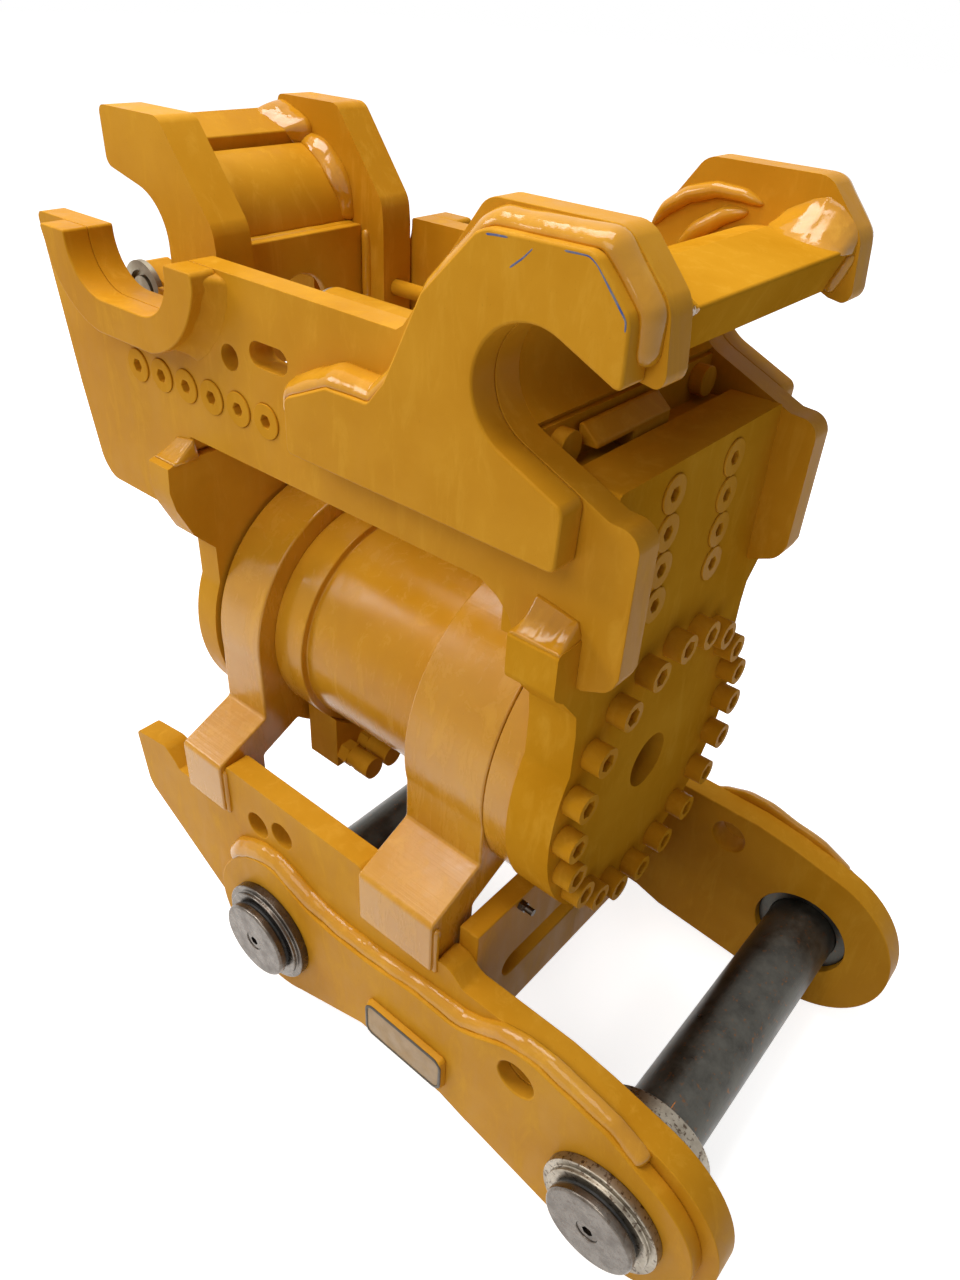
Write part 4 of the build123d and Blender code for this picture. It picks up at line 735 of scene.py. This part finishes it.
def bead(name, body, points, normal, wide, high, pitch=3.4, seed=1, wander=0.12, ripple=0.02,
         blunt=True):
    """A weld bead.

    At distance s along the path and angle t round it, the surface is
    path(s) + r(s, t) * (wide * cos t * side + high * sin t * normal), where
    r = end(s) * (1 + wander * drift(s) + ripple * cos(2 pi s / pitch - 0.9 sin t)). end(s) is
    sqrt(1 - |u| ** power), with u from -1 to 1 over the bead. When blunt, the power is the length
    over the width, so each end is round and about as long as the bead is wide. Else the power is
    low, and the whole bead is one long crescent.
    """
    path, place = along(points, BEAD_STEP)
    up = np.asarray(normal, float) / np.linalg.norm(normal)
    if up.ndim == 1:
        up = np.broadcast_to(up, path.shape)
    ahead = np.gradient(path, axis=0)
    side = np.cross(up, ahead)
    side /= np.linalg.norm(side, axis=1)[:, None]
    u = 2 * place / place[-1] - 1
    power = place[-1] / max(wide, 1) if blunt else CRESCENT
    end = np.sqrt(np.clip(1 - np.abs(u) ** power, 0.0004, 1))
    turn = 2 * np.pi * np.arange(RING) / RING
    swell = ripple * np.cos(2 * np.pi * place[:, None] / pitch - 0.9 * np.sin(turn)[None])
    radius = end[:, None] * (1 + wander * slow(place, 55.0, seed)[:, None] + swell)
    verts = (path[:, None] + radius[..., None] * (
        wide * np.cos(turn)[None, :, None] * side[:, None]
        + high * np.sin(turn)[None, :, None] * up[:, None])).reshape(-1, 3)
    return mesh_piece(name, at(verts), tube_faces(len(path), RING), paint_weld, body)


print("a bead has", RING, "points round it and a ring every", BEAD_STEP, "mm")

# %% [markdown]
# The long seams are laid in a corner: one leg stands against the edge of the doubled plate and the
# other lies on the plate beneath. The section between them is a quarter of a superellipse, full
# where much metal was run in and hollow where it was dressed.

# %% Fillet surface
STEPS = 12
SEAM_STEP = 1.4
SINK = 1.2


def fillet(name, body, corner, off, high, wide, hollow=1.0, seed=1, wander=0.08, taper=6.0,
           coat=None):
    """A weld in a corner.

    At distance s along the corner, with v from 0 to 1 over the weld, its face is
    corner(s) + k(s) * (off * high * cos(v pi / 2) ** hollow + flat * wide * sin(v pi / 2) ** hollow),
    where flat lies in the plate, square to the path, and k(s) drifts slowly and closes at both
    ends. high and wide are one number or a list of numbers spread evenly along the path. Three
    rows sunk into the plates close the section from behind.
    """
    path, place = along(corner, SEAM_STEP)
    share = place / place[-1]
    high, wide = (np.interp(share, np.linspace(0, 1, np.size(value)), np.atleast_1d(value))
                  if np.size(value) > 1 else np.full(len(path), float(value)) for value in (high, wide))
    ahead = np.gradient(path, axis=0)
    flat = np.cross(ahead, (0, 1, 0))
    flat /= np.linalg.norm(flat, axis=1)[:, None]
    near_end = np.minimum(place, place[-1] - place) / taper
    k = np.sqrt(np.clip(near_end * (2 - near_end), 0.003, 1)) * (near_end < 1) + (near_end >= 1)
    k = k * (1 + wander * slow(place, 60.0, seed))
    v = np.linspace(0, np.pi / 2, STEPS)
    rise = (k * high)[:, None] * np.clip(np.cos(v), 0, 1)[None] ** hollow
    run = (k * wide)[:, None] * np.clip(np.sin(v), 0, 1)[None] ** hollow
    sunk = np.full((len(path), 2), -SINK)
    rise = np.column_stack([rise, sunk, 0.8 * k * high])
    run = np.column_stack([run, 0.9 * k * wide, sunk])
    verts = (path[:, None] + rise[..., None] * np.asarray(off, float)
             + run[..., None] * flat[:, None]).reshape(-1, 3)
    return mesh_piece(name, at(verts), tube_faces(len(path), STEPS + 3), coat or paint_weld, body)


print("a fillet has", STEPS, "points over its face and a ring every", SEAM_STEP, "mm")

# %% [markdown]
# The seams are named by where they run. Most of them lie in the plane of a side plate, so they
# are given as (x, z) points about the tilt axis, in millimetres, once for both sides.

# %% Seams between the plates
HITCH_IN, HITCH_OUT, DOUBLER_FACE = 108.0, 130.0, 152.0
BRACKET_OUT = 182.0
JAW_IN = 71.0
JAW, LINER_BACK = (-281.0, 337.5), 58

hook_edge = [(-57, 260), (-57, 279), (-14, 298), (25, 299), (40, 317), (70, 377), (108, 416),
             (115, 419.5), (184, 420.5), (208.5, 393.5), (209, 366)]
saddle_rear = [(-318, 283), (-329, 294), (-340, 310), (-349, 340)]
saddle_front = [(-151, 340), (-153, 322), (-163, 303), (-178, 287), (-196, 275)]
bracket_wave = [(-133, -208), (-120, -192), (-104, -182), (-87, -175), (-70, -174), (-50, -181),
                (-28, -190), (-4, -194), (20, -196), (70, -193), (122, -186), (164, -185),
                (186, -176), (206, -163), (228, -157), (249, -156), (309, -168), (340, -184)]


def arc(centre, radius, start, stop, count=24):
    """(x, z) points of an arc, its angles in degrees."""
    angle = np.radians(np.linspace(start, stop, count))
    return [(centre[0] + radius * c, centre[1] + radius * s)
            for c, s in zip(np.cos(angle), np.sin(angle))]


def in_plane(outline, y):
    """(x, z) points set in the plane y."""
    return [(x, y, z) for x, z in outline]


def seed_of(name, sign):
    """A seed from the name's length, another one for the far side."""
    return len(name) + (7 if sign > 0 else 3)


def side_bead(name, body, outline, y, wide, high, **more):
    """The same bead on the near and the far side, in the planes y and -y."""
    for side, sign in SIDES:
        bead(f"{name}_{side}", body, in_plane(outline, sign * y), (0, sign, 0), wide, high,
             seed=seed_of(name, sign), **more)


def side_fillet(name, body, outline, y, high, wide, outward=1, **more):
    """The same fillet on both sides, standing off the plane y by high, outwards or inwards."""
    for side, sign in SIDES:
        fillet(f"{name}_{side}", body, in_plane(outline, sign * y), (0, sign * outward, 0), high,
               wide, seed=seed_of(name, sign), **more)


side_fillet("weld_hook_doubler", "hitch", hook_edge, HITCH_OUT,
            [20, 20, 20, 17, 15, 15, 15, 15, 14, 12], [12, 13, 12, 9, 8.8, 8.8, 8.8, 8.8, 8.8, 7],
            taper=10.0)
side_fillet("weld_saddle_rear", "hitch", saddle_rear, HITCH_OUT, 18, 12, hollow=2.4, coat=paint_plate)
side_fillet("weld_saddle_front", "hitch", saddle_front, HITCH_OUT, 18, 14, hollow=2.6, coat=paint_plate)
side_fillet("weld_bracket_doubler", "bracket", bracket_wave, BRACKET_OUT,
            [14, 13, 11, 11, 11, 11, 11, 11], [14, 13, 11, 10, 10, 11, 11, 10])
print("seams between the plates laid")

# %% [markdown]
# Inside the hook the throat's bent liner and the nose bar meet the side plate. The welder ran two
# arcs there, one on the liner and one above it, and built the bar's end up in a broad lump. The
# points were found by sending the photograph's sight lines to the plate's inner face.

# %% Seams inside the hook and the jaw
liner_outer = [(62, 378.4), (73, 392.6), (89, 403.8), (110, 410.2), (131, 409.6), (146.2, 405.7)]
liner_inner = [(85.5, 367.3), (101.4, 383.2), (118.9, 394.8), (136.4, 399.7)]
bar_crown = [(157, 398.5), (168, 396.5), (176, 395), (184, 393.6), (194, 392), (206, 390), (216, 388)]
bar_front = [(214, 388), (208, 372), (203, 361)]
jaw_front = [(-203, 334), (-202, 320), (-202, 284), (-202, 244)]
jaw_bar = [(-311, 417.5), (-306, 417), (-292, 410.5), (-277, 404), (-276, 392)]
JAW_FOOT_X, JAW_FOOT_Z, JAW_FOOT_Y = -220, 336, JAW_IN + 0.5

side_bead("weld_liner_outer", "hitch", liner_outer, HITCH_IN, 6.0, 7.5, wander=0.1, ripple=0.0,
          blunt=False)
side_bead("weld_liner_inner", "hitch", liner_inner, HITCH_IN, 6.5, 7.0, wander=0.1, ripple=0.0,
          blunt=False)
side_fillet("weld_bar_crown", "hitch", bar_crown, HITCH_IN, [20, 24, 27, 28, 27, 24, 18],
            [5, 13, 20, 24.5, 22, 16, 9], outward=-1, hollow=2.4, wander=0.12, coat=paint_lump)
side_bead("weld_bar_front", "hitch", bar_front, HITCH_IN, 5.0, 5.0, ripple=0.0)
side_fillet("weld_jaw_liner", "jaw", arc(JAW, LINER_BACK, 84, 0), JAW_IN, [12, 14, 14, 12, 10],
            [8, 10, 9, 8, 6], outward=-1, hollow=1.3, wander=0.2, coat=paint_lump)
bead("weld_jaw_foot", "jaw", [(JAW_FOOT_X, y, JAW_FOOT_Z) for y in (-JAW_FOOT_Y, JAW_FOOT_Y)],
     (0, 0, 1), 5.0, 3.0, ripple=0.0)
side_bead("weld_jaw_front", "jaw", jaw_front, JAW_IN, 4.5, 4.5)
for (side, sign), full in zip(SIDES, (0.35, 1.0)):
    fillet(f"weld_jaw_bar_{side}", "jaw", in_plane(jaw_bar, sign * JAW_IN), (0, -sign, 0),
           [26 * full, 30 * full, 28 * full, 22 * full, 12], [6 * full, 9 * full, 10 * full, 9 * full, 6],
           hollow=1.5, seed=11, wander=0.16, taper=3.0, coat=paint_lump)
print("inner seams laid")

# %% [markdown]
# The wings of the two end plates reach out through the side plates, and a sloping run of weld
# lies on the top of each. Its section is a corner with a hollow slope, and it is carried along
# the tilt axis while it shrinks towards the free end.

# %% Sloping welds on the wings


def slope_weld(name, body, start, stop, top, inner, outer, rise, fall):
    """A sloping weld in the corner over a wing.

    With u from 0 to 1 along x and v from 0 to 1 down the slope, its face is
    y = inner + (outer - inner) * v and z = top + rise(u) * (1 - v) ** 1.4, plus a little drift,
    where rise(u) passes from rise to fall. A base below the wing's top closes it.
    """
    rows, steps = 30, 12
    u = np.linspace(0, 1, rows)
    v = np.linspace(0, 1, steps)
    ends = np.clip(np.sin(np.pi * np.clip(u, 0.02, 0.98)) * 6, 0, 1)
    height = (rise + (fall - rise) * u ** 1.3) * ends
    drift = 0.6 * slow(u * 60, 16.0, len(name))[:, None] * np.sin(np.pi * v)[None]
    slope_y = np.broadcast_to(inner + (outer - inner) * v, (rows, steps))
    slope_z = top + height[:, None] * (1 - v) ** 1.4 + drift
    x = np.broadcast_to(start + (stop - start) * u[:, None], (rows, steps))
    face = np.stack([x, slope_y, slope_z], axis=-1)
    base = np.stack([np.stack([x[:, 0], np.full(rows, y), np.full(rows, top - 2.0)], axis=-1)
                     for y in (outer - np.sign(outer) * 1.5, inner - np.sign(outer) * 2.0)], axis=1)
    ring = np.concatenate([face, base], axis=1)
    return mesh_piece(name, at(ring.reshape(-1, 3)), tube_faces(rows, steps + 2), paint_weld, body)


PLATE_SIDE, FRONT_WING_SIDE, REAR_WING_SIDE = 129.5, 153.5, 153.4
FRONT_WING_TOP, REAR_WING_TOP = 185.8, 179.8
for side, sign in SIDES:
    slope_weld(f"weld_front_wing_{side}", "hitch", 153.0, 192.0, FRONT_WING_TOP,
               sign * PLATE_SIDE, sign * FRONT_WING_SIDE, 20.0, 13.0)
    slope_weld(f"weld_rear_wing_{side}", "hitch", -202.0, -229.0, REAR_WING_TOP,
               sign * PLATE_SIDE, sign * REAR_WING_SIDE, 16.0, 11.0)
print("wing welds laid")

# %% [markdown]
# The feet of the two flanges stand in pockets of the bracket plates, and a thin bead follows
# each foot down the outer face of the plate.

# %% Beads at the feet
for name, x in (("rear_foot_back", -200.5), ("rear_foot_front", -143.5), ("front_foot_back", 41.5),
                ("front_foot_front", 126.5)):
    side_bead(f"weld_{name}", "bracket", [(x, -158), (x, -140), (x, -104)], BRACKET_OUT, 3.2, 3.2,
              wander=0.2)
print("pieces so far:", len(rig.table()["pieces"]))

# %% [markdown]
# ## The bare pads
# Each doubler carries a raised plate with a dark frame round a plain field. The frame is a tube
# of flat oval section round a rounded rectangle, closed on itself, and the field is a very low
# dome inside it, so both catch the light a little differently from the paint.

# %% Pad frames and fields
PAD_AT, PAD_SIZE, PAD_CORNER = (109.0, -260.5), (89.0, 39.0), 8.0
PAD_FACE = 203.0
FRAME_WIDE, FRAME_HIGH, FRAME_RING = 1.5, 1.0, 10


def rounded_rectangle(size, corner, count=96):
    """A closed outline of even steps, as (u, v): four quarter circles joined by straight runs."""
    half = np.array(size) / 2 - corner
    signs = np.array([(1, 1), (-1, 1), (-1, -1), (1, -1)])
    turns = np.radians(np.linspace(0, 90, 12)[None] + np.arange(4)[:, None] * 90)
    loop = (signs * half)[:, None] + corner * np.stack([np.cos(turns), np.sin(turns)], axis=-1)
    loop = loop.reshape(-1, 2)
    closed = np.vstack([loop, loop[:1]])
    reach = np.concatenate([[0], np.cumsum(np.linalg.norm(np.diff(closed, axis=0), axis=1))])
    place = np.linspace(0, reach[-1], count, endpoint=False)
    return np.stack([np.interp(place, reach, closed[:, k]) for k in range(2)], axis=1)


def pad_frame(name, y, sign):
    """The dark frame: outline + FRAME_WIDE * cos t outwards + FRAME_HIGH * sin t off the pad."""
    loop = rounded_rectangle(PAD_SIZE, PAD_CORNER)
    ahead = np.roll(loop, -1, axis=0) - np.roll(loop, 1, axis=0)
    away = np.stack([ahead[:, 1], -ahead[:, 0]], axis=1) / np.linalg.norm(ahead, axis=1)[:, None]
    turn = 2 * np.pi * np.arange(FRAME_RING) / FRAME_RING
    flat = loop[:, None] + FRAME_WIDE * np.cos(turn)[None, :, None] * away[:, None]
    off = sign * (y + FRAME_HIGH * np.sin(turn))
    verts = np.stack([PAD_AT[0] + flat[..., 0], np.broadcast_to(off, flat.shape[:2]),
                      PAD_AT[1] + flat[..., 1]], axis=-1).reshape(-1, 3)
    row, col = np.meshgrid(np.arange(len(loop)), np.arange(FRAME_RING), indexing="ij")
    first, after = row * FRAME_RING, (row + 1) % len(loop) * FRAME_RING
    turned = (col + 1) % FRAME_RING
    quads = np.stack([first + col, first + turned, after + turned, after + col], axis=-1)
    return mesh_piece(name, at(verts), quads.reshape(-1, 4).tolist(), frame_dark, "bracket")


def pad_field(name, y, sign):
    """The plain field: ring i is the outline * shrink[i], at height[i] off the pad, a low dome."""
    loop = rounded_rectangle((PAD_SIZE[0] - 2, PAD_SIZE[1] - 2), PAD_CORNER - 1)
    shrink = np.array([1.0, 1.0, 0.97, 0.85, 0.6, 0.3])
    height = np.array([-0.6, 0.0, 0.25, 0.35, 0.4, 0.42])
    flat = shrink[:, None, None] * loop[None]
    off = np.broadcast_to(sign * (y + height)[:, None], flat.shape[:2])
    verts = np.stack([PAD_AT[0] + flat[..., 0], off, PAD_AT[1] + flat[..., 1]], axis=-1)
    return mesh_piece(name, at(verts.reshape(-1, 3)), tube_faces(len(shrink), len(loop)), field_tan,
                      "bracket")


def plain_coat(name, colour, other, rough):
    """A thin dull coat in two close tones, for the pad's frame and field."""
    coat = Finish(name, rough)
    coat.colour(coat.blend(coat.spread(coat.noise(120.0, 5.0, 0.65), 0.35, 0.68), colour, other))
    coat.roughness(coat.spread(coat.noise(70.0, 3.0), 0.3, 0.7, rough - 0.08, rough + 0.12))
    coat.relief((coat.noise(520.0, 2.0), 0.00006))
    return coat.material


frame_dark = plain_coat("frame_dark", (0.035, 0.027, 0.016), (0.075, 0.055, 0.028), 0.45)
field_tan = plain_coat("field_tan", (0.30, 0.175, 0.055), (0.36, 0.215, 0.075), 0.42)
for side, sign in SIDES:
    pad_frame(f"pad_frame_{side}", PAD_FACE, sign)
    pad_field(f"pad_field_{side}", PAD_FACE, sign)

# %% [markdown]
# ## Marks of the workshop
# A blue marker line still follows the edge of the near hook, with one slanting stroke, and the
# front pin has an orange scratch of paint beside its collar. Each is a hair-thin bead of its own
# colour, half sunk into the surface it lies on.

# %% Marker line and paint scratch


def mark(name, body, points, normal, wide, high, material, slot="yellow_paint"):
    """A thin bead in another colour."""
    piece = bead(name, body, points, normal, wide, high, seed=len(name), wander=0.45, ripple=0.0)
    piece.data.materials[0] = material
    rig.slot(piece, slot)
    return piece


ink = marker_ink()
scratch_paint = plain_coat("scratch_orange", (0.62, 0.20, 0.02), (0.50, 0.15, 0.02), 0.4)
face_y = -DOUBLER_FACE
mark("marker_edge", "hitch", [(x, face_y, z) for x, z in (
    (166, 417.6), (181, 417.9), (186, 414.8), (197, 402.7), (206, 392.6), (206.3, 387))],
    (0, -1, 0), 0.5, 0.1, ink)
mark("marker_stroke", "hitch", [(147, face_y, 415), (141, face_y, 409), (133, face_y, 403)],
     (0, -1, 0), 0.45, 0.1, ink)
mark("marker_touch", "hitch", [(116, face_y, 416.4), (122, face_y, 417), (131, face_y, 417.3)],
     (0, -1, 0), 0.45, 0.1, ink)
FRONT_PIN, PIN_RADIUS, SCRATCH_ANGLE = (321.5, -260.5), 35, np.radians(84)
pin_out = (np.cos(SCRATCH_ANGLE), 0, np.sin(SCRATCH_ANGLE))
mark("pin_scratch", "bracket",
     [(FRONT_PIN[0] + PIN_RADIUS * pin_out[0], y, FRONT_PIN[1] + PIN_RADIUS * pin_out[2])
      for y in (-128, -118, -104)], pin_out, 0.5, 0.15, scratch_paint, "dark_pin_steel")
print("marks laid:", len([o for o in bpy.data.objects if o.name.startswith(("marker", "pin_scratch"))]))

# %% [markdown]
# ## Sizes and finish
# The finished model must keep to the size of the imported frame, so both boxes are written down.

# %% Sizes
new_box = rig.bounds()
with open("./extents.json", "w") as sheet:
    json.dump({"cad": [list(map(float, corner)) for corner in cad_box],
               "visual": [list(map(float, corner)) for corner in new_box]}, sheet)
print("packed box:", cad_box, "finished box:", new_box)
